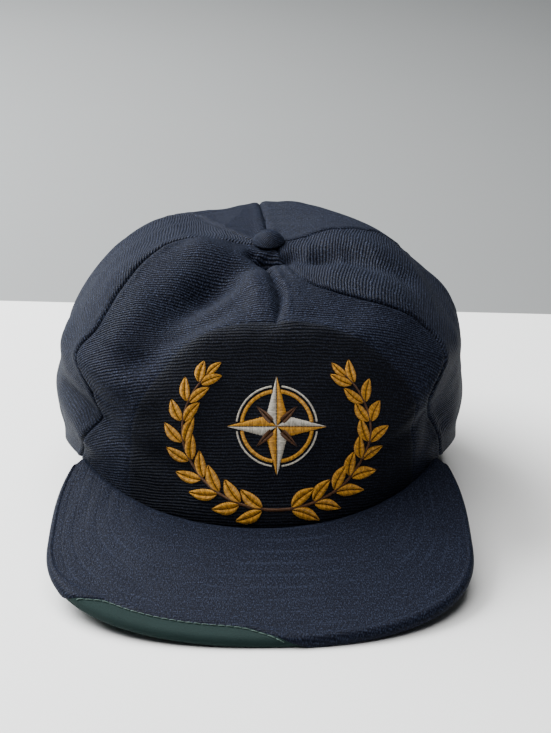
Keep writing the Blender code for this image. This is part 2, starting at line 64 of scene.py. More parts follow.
RING_NAMES = ("rise", "width", "front", "back", "lean", "front_z", "side_z", "back_z",
              "corner_front", "corner_back", "rim")
RINGS = (
    (0.00, 1.000, 1.000, 1.000, 0.000, 0.129, 0.165, 0.000, 2.05, 2.00, 1.00),
    (0.035, 1.000, 1.000, 1.000, 0.000, 0.176, 0.213, 0.047, 2.05, 2.00, 0.92),
    (0.10, 1.013, 0.962, 1.012, -0.002, 0.270, 0.300, 0.135, 2.15, 2.02, 0.75),
    (0.20, 1.018, 0.905, 1.010, -0.003, 0.420, 0.430, 0.300, 2.40, 2.10, 0.42),
    (0.32, 1.000, 0.838, 0.985, 0.008, 0.575, 0.575, 0.490, 2.75, 2.20, 0.18),
    (0.44, 0.968, 0.768, 0.935, 0.014, 0.730, 0.700, 0.670, 3.05, 2.30, 0.05),
    (0.54, 0.868, 0.700, 0.860, -0.003, 0.842, 0.808, 0.815, 3.00, 2.35, 0.00),
    (0.62, 0.772, 0.610, 0.775, -0.009, 0.880, 0.893, 0.925, 2.80, 2.35, 0.00),
    (0.72, 0.618, 0.470, 0.640, -0.004, 0.915, 0.975, 1.005, 2.50, 2.25, 0.00),
    (0.84, 0.400, 0.285, 0.430, 0.014, 0.955, 1.018, 1.028, 2.20, 2.10, 0.00),
    (0.94, 0.190, 0.140, 0.210, 0.034, 0.985, 1.012, 1.016, 2.00, 2.00, 0.00),
    (1.00, 0.040, 0.036, 0.040, 0.042, 1.000, 1.003, 1.004, 2.00, 2.00, 0.00),
)
print("crown", 2 * RIM_HALF_WIDTH, "wide", 2 * RIM_HALF_LENGTH, "long", CROWN_HEIGHT, "high")

# %% [markdown]
# The folds give the cap its crushed look. They could be sculpted by hand or left to a cloth
# simulation. Here each one is a line between two places on the crown, given as an angle from the
# front and a share of the way up, with a width and a depth in shares of the crown's height. Such
# a line can be changed by itself. The second table holds small ones that only the eye needs.

# %% Folds
FOLD_END = 0.55         # share of a fold's depth that is left at both of its ends
FOLD_NAMES = ("name", "angle_0", "rise_0", "angle_1", "rise_1", "width", "depth", "edge")
FOLDS = (
    ("hollow_before_button", -20.0, 0.95, 25.0, 0.92, 0.080, -0.026, 2.0),
    ("dart_top", -8.0, 0.95, 7.0, 0.86, 0.028, -0.012, 1.6),
    ("dart_middle", 7.0, 0.86, 11.0, 0.72, 0.030, -0.014, 1.6),
    ("dart_foot", 11.0, 0.72, 7.0, 0.59, 0.026, -0.012, 1.6),
    ("pleat_beside_dart", 21.0, 0.85, 18.0, 0.66, 0.045, 0.010, 2.0),
    ("lobe_beside_dart", -14.0, 0.86, 0.0, 0.75, 0.065, 0.022, 2.0),
    ("lobe_foot", 0.0, 0.75, 1.0, 0.65, 0.050, 0.016, 2.0),
    ("front_left_lobe", -78.0, 0.85, -52.0, 0.92, 0.110, 0.032, 2.0),
    ("front_left_shoulder", -64.0, 0.62, -76.0, 0.78, 0.060, 0.018, 2.0),
    ("front_left_valley_top", -24.0, 0.83, -32.0, 0.70, 0.085, -0.064, 2.0),
    ("front_left_valley", -32.0, 0.70, -38.0, 0.48, 0.100, -0.064, 2.0),
    ("front_left_slope", -16.0, 0.66, -29.0, 0.46, 0.090, -0.016, 2.0),
    ("plate_edge_left", -40.0, 0.37, -22.0, 0.52, 0.048, 0.018, 1.8),
    ("plate_edge_top", -22.0, 0.52, 0.0, 0.60, 0.048, 0.014, 1.8),
    ("plate_edge_right", 8.0, 0.60, 30.0, 0.53, 0.045, 0.012, 1.8),
    ("plate_edge_low_right", 32.0, 0.51, 43.0, 0.34, 0.050, 0.014, 1.8),
    ("front_right_bulge", 52.0, 0.40, 41.0, 0.26, 0.080, 0.026, 2.0),
    ("waist_right", 50.0, 0.22, 60.0, 0.12, 0.085, -0.046, 2.0),
    ("waist_front_right", 26.0, 0.14, 46.0, 0.21, 0.050, -0.020, 2.0),
    ("waist_left", -66.0, 0.25, -46.0, 0.22, 0.070, -0.048, 1.8),
    ("waist_front_left", -48.0, 0.21, -20.0, 0.15, 0.050, -0.018, 2.0),
    ("foot_left", -60.0, 0.11, -46.0, 0.11, 0.055, 0.012, 2.0),
    ("front_left_bulge", -52.0, 0.41, -36.0, 0.33, 0.075, 0.020, 2.0),
    ("side_left_ridge", -78.0, 0.44, -66.0, 0.34, 0.070, 0.012, 2.0),
    ("side_right_valley_top", 50.0, 0.90, 71.0, 0.83, 0.070, -0.048, 2.0),
    ("side_right_valley", 71.0, 0.83, 76.0, 0.66, 0.080, -0.048, 2.0),
    ("side_right_roll", 46.0, 0.76, 60.0, 0.54, 0.075, 0.018, 2.0),
    ("side_right_shoulder", 97.0, 0.45, 110.0, 0.52, 0.080, 0.018, 2.0),
    ("side_right_flat", 78.0, 0.28, 80.0, 0.39, 0.080, -0.013, 2.0),
    ("side_right_top", 112.0, 0.61, 114.0, 0.63, 0.060, -0.012, 2.0),
    ("back_left_dip", -128.0, 0.76, -158.0, 0.86, 0.230, -0.034, 2.0),
    ("back_left_shoulder", -150.0, 0.69, -122.0, 0.62, 0.100, 0.020, 2.0),
    ("back_left_crest", -171.0, 0.71, -158.0, 0.70, 0.070, -0.013, 2.0),
    ("back_right_crest", 158.0, 0.72, 172.0, 0.73, 0.070, 0.012, 2.0),
    ("back_right_dent", 140.0, 0.52, 152.0, 0.40, 0.130, -0.022, 2.0),
    ("back_left_dent", -146.0, 0.50, -136.0, 0.36, 0.120, -0.018, 2.0),
)
SMALL_FOLDS = (
    ("hollow_under_button", -26.0, 0.945, 32.0, 0.930, 0.030, -0.052, 2.0),
    ("valley_bank_upper", -12.0, 0.67, -25.0, 0.585, 0.060, -0.014, 2.0),
    ("valley_bank_lower", -25.0, 0.585, -38.0, 0.44, 0.065, -0.024, 2.0),
    ("arch_edge_left", -40.0, 0.37, -22.0, 0.52, 0.048, -0.014, 1.8),
    ("arch_edge_top", -22.0, 0.52, 0.0, 0.60, 0.048, -0.012, 1.8),
    ("dart_line_top", -8.5, 0.95, 6.0, 0.87, 0.0075, -0.012, 1.4),
    ("dart_line_upper", 6.0, 0.87, 11.0, 0.763, 0.0075, -0.014, 1.4),
    ("dart_line_middle", 11.0, 0.763, 11.0, 0.705, 0.0075, -0.014, 1.4),
    ("dart_line_lower", 11.0, 0.705, 9.0, 0.647, 0.0075, -0.014, 1.4),
    ("dart_line_foot", 9.0, 0.647, 7.0, 0.59, 0.0075, -0.010, 1.4),
    ("dart_roll_upper", 10.5, 0.90, 15.5, 0.763, 0.018, 0.010, 2.0),
    ("dart_roll_lower", 15.5, 0.763, 13.0, 0.64, 0.018, 0.009, 2.0),
    ("dart_side_upper", 1.0, 0.85, 6.5, 0.763, 0.020, 0.006, 2.0),
    ("dart_side_lower", 6.5, 0.763, 5.5, 0.66, 0.020, 0.007, 2.0),
    ("waist_crease_left", -55.5, 0.33, -36.5, 0.275, 0.020, -0.006, 1.6),
    ("waist_crease_right", 46.0, 0.302, 36.0, 0.23, 0.020, -0.005, 1.6),
)
print("folds", len(FOLDS), "small folds", len(SMALL_FOLDS))

# %% [markdown]
# The sections are only given at twelve heights. Straight lines between them would leave a kink
# at each one, and a section every millimetre would be a long table that nobody can read. So a
# smooth line through each column gives every height in between.

# %% Between the sections
def table_column(names, rows, name):
    """One named column of a table."""
    k = names.index(name)
    return np.array([row[k] for row in rows], float)


def smooth(x, xs, ys):
    """A smooth line through the points of a column."""
    xs = np.asarray(xs, float)
    ys = np.asarray(ys, float)
    x = np.clip(np.asarray(x, float), xs[0], xs[-1])
    slope = np.gradient(ys, xs)
    k = np.clip(np.searchsorted(xs, x, side="right") - 1, 0, len(xs) - 2)
    step = xs[k + 1] - xs[k]
    s = (x - xs[k]) / step
    return ((2 * s**3 - 3 * s**2 + 1) * ys[k] + (s**3 - 2 * s**2 + s) * step * slope[k]
            + (3 * s**2 - 2 * s**3) * ys[k + 1] + (s**3 - s**2) * step * slope[k + 1])


RISE = table_column(RING_NAMES, RINGS, "rise")
COLUMN = {name: table_column(RING_NAMES, RINGS, name) for name in RING_NAMES}
RIM = dict(zip(RING_NAMES, RINGS[0]))


def ring(name, rise):
    """One column of the sections at any rise."""
    return smooth(rise, RISE, COLUMN[name])


print("sections", len(RINGS), "half width halfway up", ring("width", 0.5) * RIM_HALF_WIDTH)

# %% [markdown]
# The visor is a flat board on a head's curve, so it rests on its front edge and its ends stand
# up. The crown's rim is sewn to it and then falls to the table at the back. Both could be bent
# by hand in Blender. Two height formulas are surer, because the rim and the visor then meet
# everywhere along their seam.

# %% Heights of visor and rim
GAP = 0.0003
SEAM_HEIGHT = 0.0200
VISOR_END = 58.5        # angle from the front at which the visor ends
VISOR_END_RISE = 0.0042
VISOR_LIFT = 0.0036
VISOR_HALF_WIDTH = 0.0910
VISOR_DEPTH = 0.0705
VISOR_ARCH = 0.0010
VISOR_BOARD = 0.0030
UNDER_CLOTH = 0.0012
VISOR_THICKNESS = VISOR_BOARD + GAP + UNDER_CLOTH
END_Y = -RIM_HALF_LENGTH * math.cos(math.radians(VISOR_END))


def visor_top(x, y):
    """Height of the visor's top surface, which slopes down to the table in front."""
    slope = (SEAM_HEIGHT - VISOR_THICKNESS) / (VISOR_DEPTH - VISOR_THICKNESS / 2)
    back = np.clip((y + RIM_HALF_LENGTH) / (END_Y + RIM_HALF_LENGTH), 0.0, 1.2)
    arch = VISOR_ARCH * (x / VISOR_HALF_WIDTH)**2
    ahead = np.clip((END_Y - y) / (END_Y + RIM_HALF_LENGTH + VISOR_DEPTH), 0.0, 1.0)
    bend = VISOR_LIFT * np.clip(-x / VISOR_HALF_WIDTH, 0.0, 1.1)**1.3 * ahead
    return SEAM_HEIGHT + (y + RIM_HALF_LENGTH) * slope + VISOR_END_RISE * back**2 - arch + bend


def rim_height(x, y):
    """The rim follows the visor's underside in front and falls from its ends to the table."""
    end_x = RIM_HALF_WIDTH * math.sin(math.radians(VISOR_END))
    rest_y = 0.70 * RIM_HALF_LENGTH
    ahead = visor_top(x, y) - VISOR_THICKNESS
    top = visor_top(end_x, END_Y) - VISOR_THICKNESS
    share = np.clip((rest_y - y) / (rest_y - END_Y), 0.0, 1.0)
    return np.where(y < END_Y, ahead, top * np.sin(math.pi / 2 * share)**1.7)


print("rim in front", float(rim_height(0.0, -RIM_HALF_LENGTH)), "and at the back",
      float(rim_height(0.0, RIM_HALF_LENGTH)))

# %% [markdown]
# From above, a section of the crown is a rounded box with its own width, front and back, so one
# formula draws them all. The folds are then laid over it. Each fold is a smooth bump along a
# line, the way a finger would press it into the cloth.

# %% Plan and folds
def plan(angle, width, front, back, corner_front, corner_back):
    """Reach of a section in plan along a direction given by its angle."""
    s = np.abs(np.sin(angle))
    c = np.abs(np.cos(angle))
    ahead = np.cos(angle) > 0
    length = np.where(ahead, front, back)
    corner = np.where(ahead, corner_front, corner_back)
    return ((s / width)**corner + (c / length)**corner)**(-1.0 / corner)


def rim_plan(angle):
    """Reach of the rim along a direction."""
    return plan(angle, RIM_HALF_WIDTH, RIM_HALF_LENGTH, RIM_HALF_LENGTH,
                RIM["corner_front"], RIM["corner_back"])


def fold_depth(angle, rise, folds):
    """Sum of a table of folds at places on the crown."""
    total = np.zeros(np.broadcast(angle, rise).shape)
    reach = 0.5 * (ring("width", rise) * RIM_HALF_WIDTH + ring("front", rise) * RIM_HALF_LENGTH)
    for row in folds:
        fold = dict(zip(FOLD_NAMES, row))
        a0 = math.radians(fold["angle_0"])
        a1 = math.radians(fold["angle_1"])
        middle = (a0 + a1) / 2
        nearest = middle + (angle - middle + math.pi) % (2 * math.pi) - math.pi
        x = (nearest - a0) * reach
        y = (rise - fold["rise_0"]) * CLIMB
        dx = (a1 - a0) * reach
        dy = (fold["rise_1"] - fold["rise_0"]) * CLIMB
        along = np.clip((x * dx + y * dy) / (dx * dx + dy * dy + 1e-9), 0.0, 1.0)
        away = np.hypot(x - along * dx, y - along * dy) / (fold["width"] * CROWN_HEIGHT)
        fade = FOLD_END + (1.0 - FOLD_END) * np.sin(math.pi * along)
        total = total + fold["depth"] * CROWN_HEIGHT * fade * np.exp(-away**fold["edge"])
    return total


print("depth in the left valley", float(fold_depth(math.radians(-35), 0.60, FOLDS)))

# %% [markdown]
# With these the place of any point of the cloth follows from its angle round the crown and its
# rise. The bare crown comes first. Its outward direction is the way a fold pushes the cloth.

# %% Bare crown
def bare_point(angle, rise):
    """The crown before its folds."""
    width = ring("width", rise) * RIM_HALF_WIDTH
    front = ring("front", rise) * RIM_HALF_LENGTH
    back = ring("back", rise) * RIM_HALF_LENGTH
    reach = plan(angle, width, front, back, ring("corner_front", rise), ring("corner_back", rise))
    x = reach * np.sin(angle) + ring("lean", rise) * RIM_HALF_WIDTH
    y = -reach * np.cos(angle)
    ahead = np.cos(angle) > 0
    share = np.cos(angle)**2
    end_z = np.where(ahead, ring("front_z", rise), ring("back_z", rise)) * CROWN_HEIGHT
    side_z = ring("side_z", rise) * CROWN_HEIGHT
    z = side_z + (end_z - side_z) * share
    foot = rim_plan(angle)
    foot_side = RIM["side_z"] * CROWN_HEIGHT
    foot_end = np.where(ahead, RIM["front_z"], RIM["back_z"]) * CROWN_HEIGHT
    foot_z = foot_side + (foot_end - foot_side) * share
    rim_z = rim_height(foot * np.sin(angle), -foot * np.cos(angle))
    z = z + ring("rim", rise) * (rim_z - foot_z)
    return np.stack(np.broadcast_arrays(x, y, z), -1)


def bare_normal(angle, rise):
    """Outward direction of the bare crown."""
    step = 1e-3
    low = np.clip(rise - step, 0.0, 1.0)
    high = np.clip(rise + step, 0.0, 1.0)
    across = bare_point(angle + step, rise) - bare_point(angle - step, rise)
    up = bare_point(angle, high) - bare_point(angle, low)
    normal = np.cross(across, up)
    return normal / np.linalg.norm(normal, axis=-1, keepdims=True)


print("top of the bare crown", bare_point(0.0, 1.0))

# %% [markdown]
# Real cloth is never quite even. Noise on a finished mesh would give that too, but here the
# swells are part of the form, so the embroidery can lie on the same uneven face. They are about
# half a millimetre high. The arched patch behind the embroidery has a faint crease round it.

# %% Outer face of the crown
def waves(x, y, length, seed):
    """Soft uneven swells of the cloth, about 1 high, with so many metres from crest to crest."""
    random = np.random.default_rng(seed)
    total = np.zeros(np.broadcast(x, y).shape)
    for _ in range(7):
        turn = random.uniform(0, math.pi)
        pace = 2 * math.pi / (length * random.uniform(0.7, 1.5))
        total = total + np.sin(pace * (x * math.cos(turn) + y * math.sin(turn))
                               + random.uniform(0, 2 * math.pi))
    return total / 3.5


SWELLS = ((0.00022, 0.016, 4), (0.00050, 0.038, 9))     # height, length and seed
PATCH_CREASE = 0.00035


def crown_point(angle, rise, inward=0.0, fine=False, relief=0.0):
    """The outer face of the crown's cloth, or a layer lying inward of it."""
    fade = np.clip((np.asarray(rise) - 0.035) / 0.06, 0.0, 1.0)
    depth = fold_depth(angle, rise, FOLDS)
    if fine:
        reach = 0.5 * (ring("width", rise) + ring("front", rise)) * RIM_HALF_WIDTH
        depth = depth + fold_depth(angle, rise, SMALL_FOLDS)
        for height, length, seed in SWELLS:
            depth = depth + height * waves(angle * reach, rise * CLIMB, length, seed)
        depth = depth - PATCH_CREASE * np.exp(-(plate(angle, rise) / 0.03)**2)
    return (bare_point(angle, rise)
            + bare_normal(angle, rise) * (fade * depth + relief - inward)[..., None])


def plate(angle, rise):
    """Above 0 on the arched patch behind the embroidery, below 0 round it."""
    across = np.abs(np.degrees(angle) - 4.0) / 40.0
    up = np.clip((np.asarray(rise) - 0.20) / 0.39, 0.0, None)
    return 1.0 - across**3 - up**2


print("outer face in front, halfway up", crown_point(0.0, 0.5, fine=True))

# %% [markdown]
# A seam is where two panels are sewn together. It wanders with the crushed cloth, so each one
# has its own angles on the way from the rim to the button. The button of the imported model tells
# where the whole form stands, so nothing is placed by eye.

# %% Seams and place
SEAM_RISE = (0.00, 0.13, 0.21, 0.30, 0.42, 0.54, 0.66, 0.76, 0.86, 1.00)
SEAMS = {
    "front_left": (-58.5, -52.5, -48.5, -50.0, -58.6, -55.5, -61.0, -72.0, -85.0, -84.0),
    "front_right": (58.5, 57.0, 53.0, 47.8, 55.0, 55.0, 43.0, 29.5, 27.0, 34.0),
    "back_left": (-123.0, -123.5, -124.0, -125.0, -128.0, -135.0, -144.0, -147.0, -140.0, -126.0),
    "back_right": (123.0, 123.5, 124.0, 123.6, 122.5, 120.0, 115.5, 113.0, 113.0, 112.0),
}
BUTTON_HOLE = 0.0050    # the panels end this far from the button's middle


def seam_angle(name, rise):
    """Angle of a seam at a rise."""
    return np.radians(smooth(rise, SEAM_RISE, SEAMS[name]))


def rise_of_reach(reach):
    """How far up the cloth a section has this half width, near the button."""
    rises = np.linspace(0.84, 1.0, 400)
    widths = ring("width", rises) * RIM_HALF_WIDTH
    return float(rises[np.argmin(np.abs(widths - reach))])


TOP_RISE = rise_of_reach(BUTTON_HOLE)
low_corner, high_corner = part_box("top_button")
SHIFT = np.array([(low_corner[0] + high_corner[0]) / 2 - float(ring("lean", 1.0)) * RIM_HALF_WIDTH,
                  (low_corner[1] + high_corner[1]) / 2, 0.0])
print("the form stands at", SHIFT)

# %% [markdown]
# ## Making a wall of cloth
# Cloth has thickness, which shows at rims and openings. A wall is a fine outer face, a coarser
# inner face that nobody sees closely, and a border that joins the two. Points of the outer face
# carry their place on the flat cloth, in metres, so that the knit lies along the panel. Blender's
# solidify modifier would do this too, but not with an inner face that is coarser and so lighter.

# %% Making a piece
THIN = 4                # the inner face takes every fourth point of the outer one
thin = (slice(None, None, THIN), slice(None, None, THIN))


def run_length(points, axis=0):
    """Way along lines of points, from 0 at their start."""
    step = np.linalg.norm(np.diff(points, axis=axis), axis=-1)
    start = np.zeros_like(np.take(step, [0], axis=axis))
    return np.concatenate([start, np.cumsum(step, axis=axis)], axis=axis)


def new_piece(name, points, faces, material):
    """A smooth object from points and faces."""
    mesh = bpy.data.meshes.new(name)
    mesh.from_pydata(points, [], faces)
    mesh.materials.append(material)
    mesh.shade_smooth()
    piece = bpy.data.objects.new(name, mesh)
    bpy.context.scene.collection.objects.link(piece)
    return piece


def draw_map(mesh, name, places):
    """A map with two numbers for each point."""
    corner = np.zeros(len(mesh.loops), dtype=np.int64)
    mesh.loops.foreach_get("vertex_index", corner)
    layer = mesh.uv_layers.new(name=name)
    layer.data.foreach_set("uv", places[corner].astype(np.float32).ravel())


# %% [markdown]
# The two faces of a wall are grids that look in opposite ways. Their borders are joined by
# narrow faces, so the wall is closed like a real sheet of cloth.

# %% Wall of cloth
def grid_faces(k, outward=True):
    """Four-sided faces of a grid of point numbers."""
    corners = [k[:-1, :-1], k[:-1, 1:], k[1:, 1:], k[1:, :-1]]
    if not outward:
        corners = corners[:1] + corners[:0:-1]
    return np.stack(corners, -1).reshape(-1, 4).tolist()


def borders(k, j):
    """The four border lines of an outer grid, each with the inner grid's line beside it."""
    return ((k[0], j[0]), (k[:, -1], j[:, -1]), (k[-1, ::-1], j[-1, ::-1]), (k[::-1, 0], j[::-1, 0]))


def wall_mesh(name, outer, inner, maps, material):
    """A closed wall from a fine outer grid and a thin inner grid."""
    rows, columns = outer.shape[:2]
    inner_rows, inner_columns = inner.shape[:2]
    k = np.arange(rows * columns).reshape(rows, columns)
    j = rows * columns + np.arange(inner_rows * inner_columns).reshape(inner_rows, inner_columns)
    faces = grid_faces(k) + grid_faces(j, outward=False)
    for fine, coarse in borders(k, j):
        for n in range(len(coarse) - 1):
            edge = fine[n * THIN:(n + 1) * THIN + 1][::-1].tolist()
            faces.append(edge + [int(coarse[n]), int(coarse[n + 1])])
    points = np.concatenate([outer.reshape(-1, 3), inner.reshape(-1, 3)]) + SHIFT
    piece = new_piece(name, points.tolist(), faces, material)
    for map_name, grid in maps.items():
        both = np.concatenate([grid.reshape(-1, 2), grid[thin].reshape(-1, 2)])
        draw_map(piece.data, map_name, both)
    piece.data.set_sharp_from_angle(angle=math.radians(60))
    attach(piece, "root")
    print(name, "faces", len(piece.data.polygons))
    return piece


# %% [markdown]
# ## Finishes
# The outer cloth is a rib knit of navy polyester. Up close each rib is a row of slanting loops
# that catch the light as short pale dashes, and single fibres sparkle. Both are painted highlights
# in the cloth's colour. A picture of knitted cloth would repeat and blur up close. Nodes draw the
# pattern from the flat-cloth map instead, so the ribs follow every fold and stay sharp.

# %% Nodes wired by name
class Nodes:
    """A material whose nodes are added one at a time and wired together."""

    def __init__(self, name, roughness):
        self.material = bpy.data.materials.new(name)
        self.material.use_nodes = True
        self.tree = self.material.node_tree
        self.shader = self.tree.nodes["Principled BSDF"]
        self.give("Roughness", roughness)

    def put(self, value, socket):
        """A number, a colour or another node's output goes into a socket."""
        if isinstance(value, bpy.types.NodeSocket):
            self.tree.links.new(value, socket)
        elif isinstance(value, tuple):
            socket.default_value = (*value, 1.0)
        else:
            socket.default_value = value

    def give(self, name, value):
        """The same for a socket of the shader."""
        self.put(value, self.shader.inputs[name])

    def node(self, kind, **settings):
        made = self.tree.nodes.new(kind)
        for key, value in settings.items():
            setattr(made, key, value)
        return made

    def math(self, operation, a, b=0.0):
        made = self.node("ShaderNodeMath", operation=operation)
        self.put(a, made.inputs[0])
        self.put(b, made.inputs[1])
        return made.outputs[0]

    def times(self, a, b):
        return self.math("MULTIPLY", a, b)

    def plus(self, a, b):
        return self.math("ADD", a, b)

    def minus(self, a, b):
        return self.math("SUBTRACT", a, b)


# %% [markdown]
# A finish is read like a sentence: take the map, make a pattern of it, soften it with a ramp,
# mix two colours by it and press it into the surface as a bump. Each word is a small function.

# %% Words for a finish
class Finish(Nodes):
    """Maps, patterns and colours for a material."""

    def map(self, name):
        made = self.node("ShaderNodeUVMap", uv_map=name)
        split = self.node("ShaderNodeSeparateXYZ")
        self.put(made.outputs[0], split.inputs[0])
        return split.outputs[0], split.outputs[1]

    def body(self):
        """Place in the piece itself, for finishes that need no map."""
        return self.node("ShaderNodeTexCoord").outputs["Object"]

    def place(self, u, v, w=0.0):
        made = self.node("ShaderNodeCombineXYZ")
        for k, value in enumerate((u, v, w)):
            self.put(value, made.inputs[k])
        return made.outputs[0]

    def noise(self, vector, scale, detail=2.0, roughness=0.5):
        made = self.node("ShaderNodeTexNoise")
        self.put(vector, made.inputs["Vector"])
        self.put(scale, made.inputs["Scale"])
        self.put(detail, made.inputs["Detail"])
        self.put(roughness, made.inputs["Roughness"])
        return made.outputs[0]

    def ramp(self, value, low, high, low_to=0.0, high_to=1.0):
        made = self.node("ShaderNodeMapRange", interpolation_type="SMOOTHSTEP")
        for k, limit in enumerate((value, low, high, low_to, high_to)):
            self.put(limit, made.inputs[k])
        return made.outputs[0]

    def mix(self, share, a, b):
        made = self.node("ShaderNodeMix", data_type="RGBA")
        self.put(share, made.inputs[0])
        self.put(a, made.inputs[6])
        self.put(b, made.inputs[7])
        return made.outputs[2]

    def bump(self, height, depth, strength):
        made = self.node("ShaderNodeBump")
        self.put(strength, made.inputs["Strength"])
        self.put(depth, made.inputs["Distance"])
        self.put(height, made.inputs["Height"])
        self.give("Normal", made.outputs[0])


# %% [markdown]
# The rib knit is made of three scales. Ribs a millimetre and a half apart, slanting loops of
# yarn along each rib, and single fibres that sparkle; loops and sparkles are painted highlights.
# The visor has a finer knit with faint rows of stitching that follow its edge, with painted shade
# in their grooves and painted highlights on their thread.

# %% Rib knit
RIB_PITCH = 0.00142
# near black of the arched patch: partly its darker backing, partly painted shade of the front face
PATCH_BACKING_AND_SHADE = (0.0013, 0.0014, 0.0017)
ROW_FIRST = 0.0088      # the first row of stitching lies this far inside the visor's edge
ROW_STEP = 0.0074
ROW_STITCH = 0.0031


def rib_pattern(f, u, v, pitch):
    """Height of the ribs, and the slanting loops along them."""
    wave = f.plus(f.times(f.math("SINE", f.times(v, 2 * math.pi / pitch)), 0.5), 0.5)
    row = f.math("FLOOR", f.plus(f.math("DIVIDE", v, pitch), 0.25))
    slide = f.math("FRACT", f.times(row, 0.618))
    along = f.plus(f.math("DIVIDE", u, pitch * 0.80), slide)
    slant = f.plus(along, f.times(wave, 0.30))
    return wave, f.ramp(f.math("PINGPONG", slant, 0.5), 0.14, 0.36)


def stitch_rows(f, base, height, dark, highlight):
    """Rows of stitching on the visor, pressed in a little, with painted shade in the groove and
    painted highlights in patches on the thread.
    """
    inside, along = f.map("rows")
    line = f.math("PINGPONG", f.minus(inside, ROW_FIRST), ROW_STEP / 2)
    dent = f.ramp(line, 0.0003, 0.0009, 1.0, 0.0)
    dent = f.times(dent, f.ramp(inside, 0.0075, 0.0080))
    highlight_patches = f.ramp(f.noise(f.body(), 38.0, 2.0), 0.42, 0.66, 0.0, 0.20)
    thread = f.math("FRACT", f.math("DIVIDE", along, ROW_STITCH))
    thread = f.ramp(f.math("PINGPONG", thread, 0.5), 0.09, 0.17)
    # painted shade darkens the groove, and painted highlights lie on the thread in patches
    base = f.mix(f.times(dent, 0.16), base, dark)
    base = f.mix(f.times(f.times(dent, thread), highlight_patches), base, highlight)
    return base, f.minus(height, f.times(dent, 0.10))


def knit_finish(name, pitch, dark, light, highlight, patch_map=False, rows=False, rib=1.0, grain=1.0):
    """Rib knit: dark between ribs, pale broken dashes along them, and sparkling fibres. The dashes
    and sparkles are painted highlights.
    """
    f = Finish(name, 0.62)
    u, v = f.map("cloth")
    wobble = f.noise(f.place(u, v), 70.0, 3.0)
    v = f.plus(v, f.times(f.minus(wobble, 0.5), pitch * 1.6))
    wave, stitch = rib_pattern(f, u, v, pitch)
    low = f.times(v, 1.0 / grain)
    fibre = f.noise(f.place(u, low), 1250.0 * grain**0.7, 1.0, 0.5)
    speck = f.noise(f.place(u, low, 3.0), 800.0 * grain**0.7, 2.0, 0.6)
    loop = f.times(f.times(stitch, wave), f.ramp(speck, 0.36, 0.62))
    glint = f.ramp(fibre, 0.55 - 0.06 * (grain - 1.0), 0.70)
    base = f.mix(f.ramp(wave, 0.10, 0.90, 0.5 - 0.5 * rib, 0.5 + 0.5 * rib), dark, light)
    # painted highlights: loops along the ribs and sparkling fibres turn towards the pale highlight
    # colour
    base = f.mix(f.times(loop, 0.50 * rib), base, highlight)
    base = f.mix(f.times(glint, 0.62 - 0.14 * (grain - 1.0)), base, highlight)
    base = f.mix(f.ramp(speck, 0.30, 0.52, 0.55, 0.0), base, dark)
    height = f.plus(f.times(wave, 0.6 * rib), f.times(loop, 0.5 * rib))
    height = f.plus(height, f.times(speck, 0.5))
    # The arched patch is darkened: partly its darker backing, partly painted shade of the front face,
    # which turns away from the light.
    if patch_map:
        inside = f.ramp(f.map("patch")[0], -0.02, 0.05)
        base = f.mix(f.times(inside, 0.62), base, PATCH_BACKING_AND_SHADE)
    if rows:
        base, height = stitch_rows(f, base, height, dark, highlight)
    f.give("Base Color", base)
    f.give("Sheen Weight", 0.02)
    f.give("Sheen Roughness", 0.5)
    f.give("Sheen Tint", (0.62, 0.74, 1.0))
    f.give("Specular IOR Level", 0.06)
    f.bump(height, 0.0005, 0.9)
    return f.material


DARK = (0.0010, 0.0013, 0.0034)
LIGHT = (0.0041, 0.0056, 0.0135)
# pale colour of the painted highlights on the knit and on the visor's stitching thread
DASH_HIGHLIGHT = (0.037, 0.047, 0.084)
KNIT = knit_finish("navy_rib_knit", RIB_PITCH, DARK, LIGHT, DASH_HIGHLIGHT)
FRONT_KNIT = knit_finish("navy_front_knit", RIB_PITCH, DARK, LIGHT, DASH_HIGHLIGHT, patch_map=True)
VISOR_KNIT = knit_finish("navy_visor_knit", 0.00110, DARK, LIGHT, DASH_HIGHLIGHT, rows=True, rib=0.25,
                         grain=2.0)
# The button's knit is drawn about twice as light as the crown's: painted light on its upturned top.
BUTTON_KNIT = knit_finish("navy_button_knit", 0.00085, (0.0020, 0.0027, 0.0060),
                          (0.0075, 0.0105, 0.0225), DASH_HIGHLIGHT)
print("knits", [knit.name for knit in (KNIT, FRONT_KNIT, VISOR_KNIT, BUTTON_KNIT)])

# %% [markdown]
# ## The five crown panels
# Ribs run across each panel, square to the line from rim to button up its middle. On the bent
# crown that makes planes that fan out from a line low inside the cap. Edges of neighbouring
# panels roll down into the seam between them, and the cloth puckers a little beside it.

# %% Place on the flat cloth
FAN_BACK = 0.030        # the fan's line lies this far behind the middle, seen from the panel
FAN_BELOW = 0.004       # and this far below the table


def axis_turn(point, axis):
    """Turn of a place round the fan's line, for a panel whose middle looks along axis."""
    reach = point[..., 0] * math.sin(axis) - point[..., 1] * math.cos(axis)
    return np.arctan2(point[..., 2] + FAN_BELOW, reach + FAN_BACK)


def flat_place(angle, rise, axis):
    """Place on the flat cloth: metres along the rib, and up the panel's middle line."""
    line = np.linspace(0.0, 1.0, 400)
    middle = bare_point(np.full(400, axis), line)
    length = run_length(middle)
    point = bare_point(angle, rise)
    turn = axis_turn(point, axis)
    middle_turn = axis_turn(middle, axis)
    up = np.interp(turn, middle_turn, length)
    # below the middle's rim the ribs go on at the pace they have there
    pace = length[20] / (middle_turn[20] - middle_turn[0])
    up = up + np.minimum(turn - middle_turn[0], 0.0) * pace
    along = run_length(point, axis=1)
    half = np.argmin(np.abs(angle - axis), axis=1)
    along = along - along[np.arange(len(along)), half][:, None]
    return np.stack([along, up], -1)


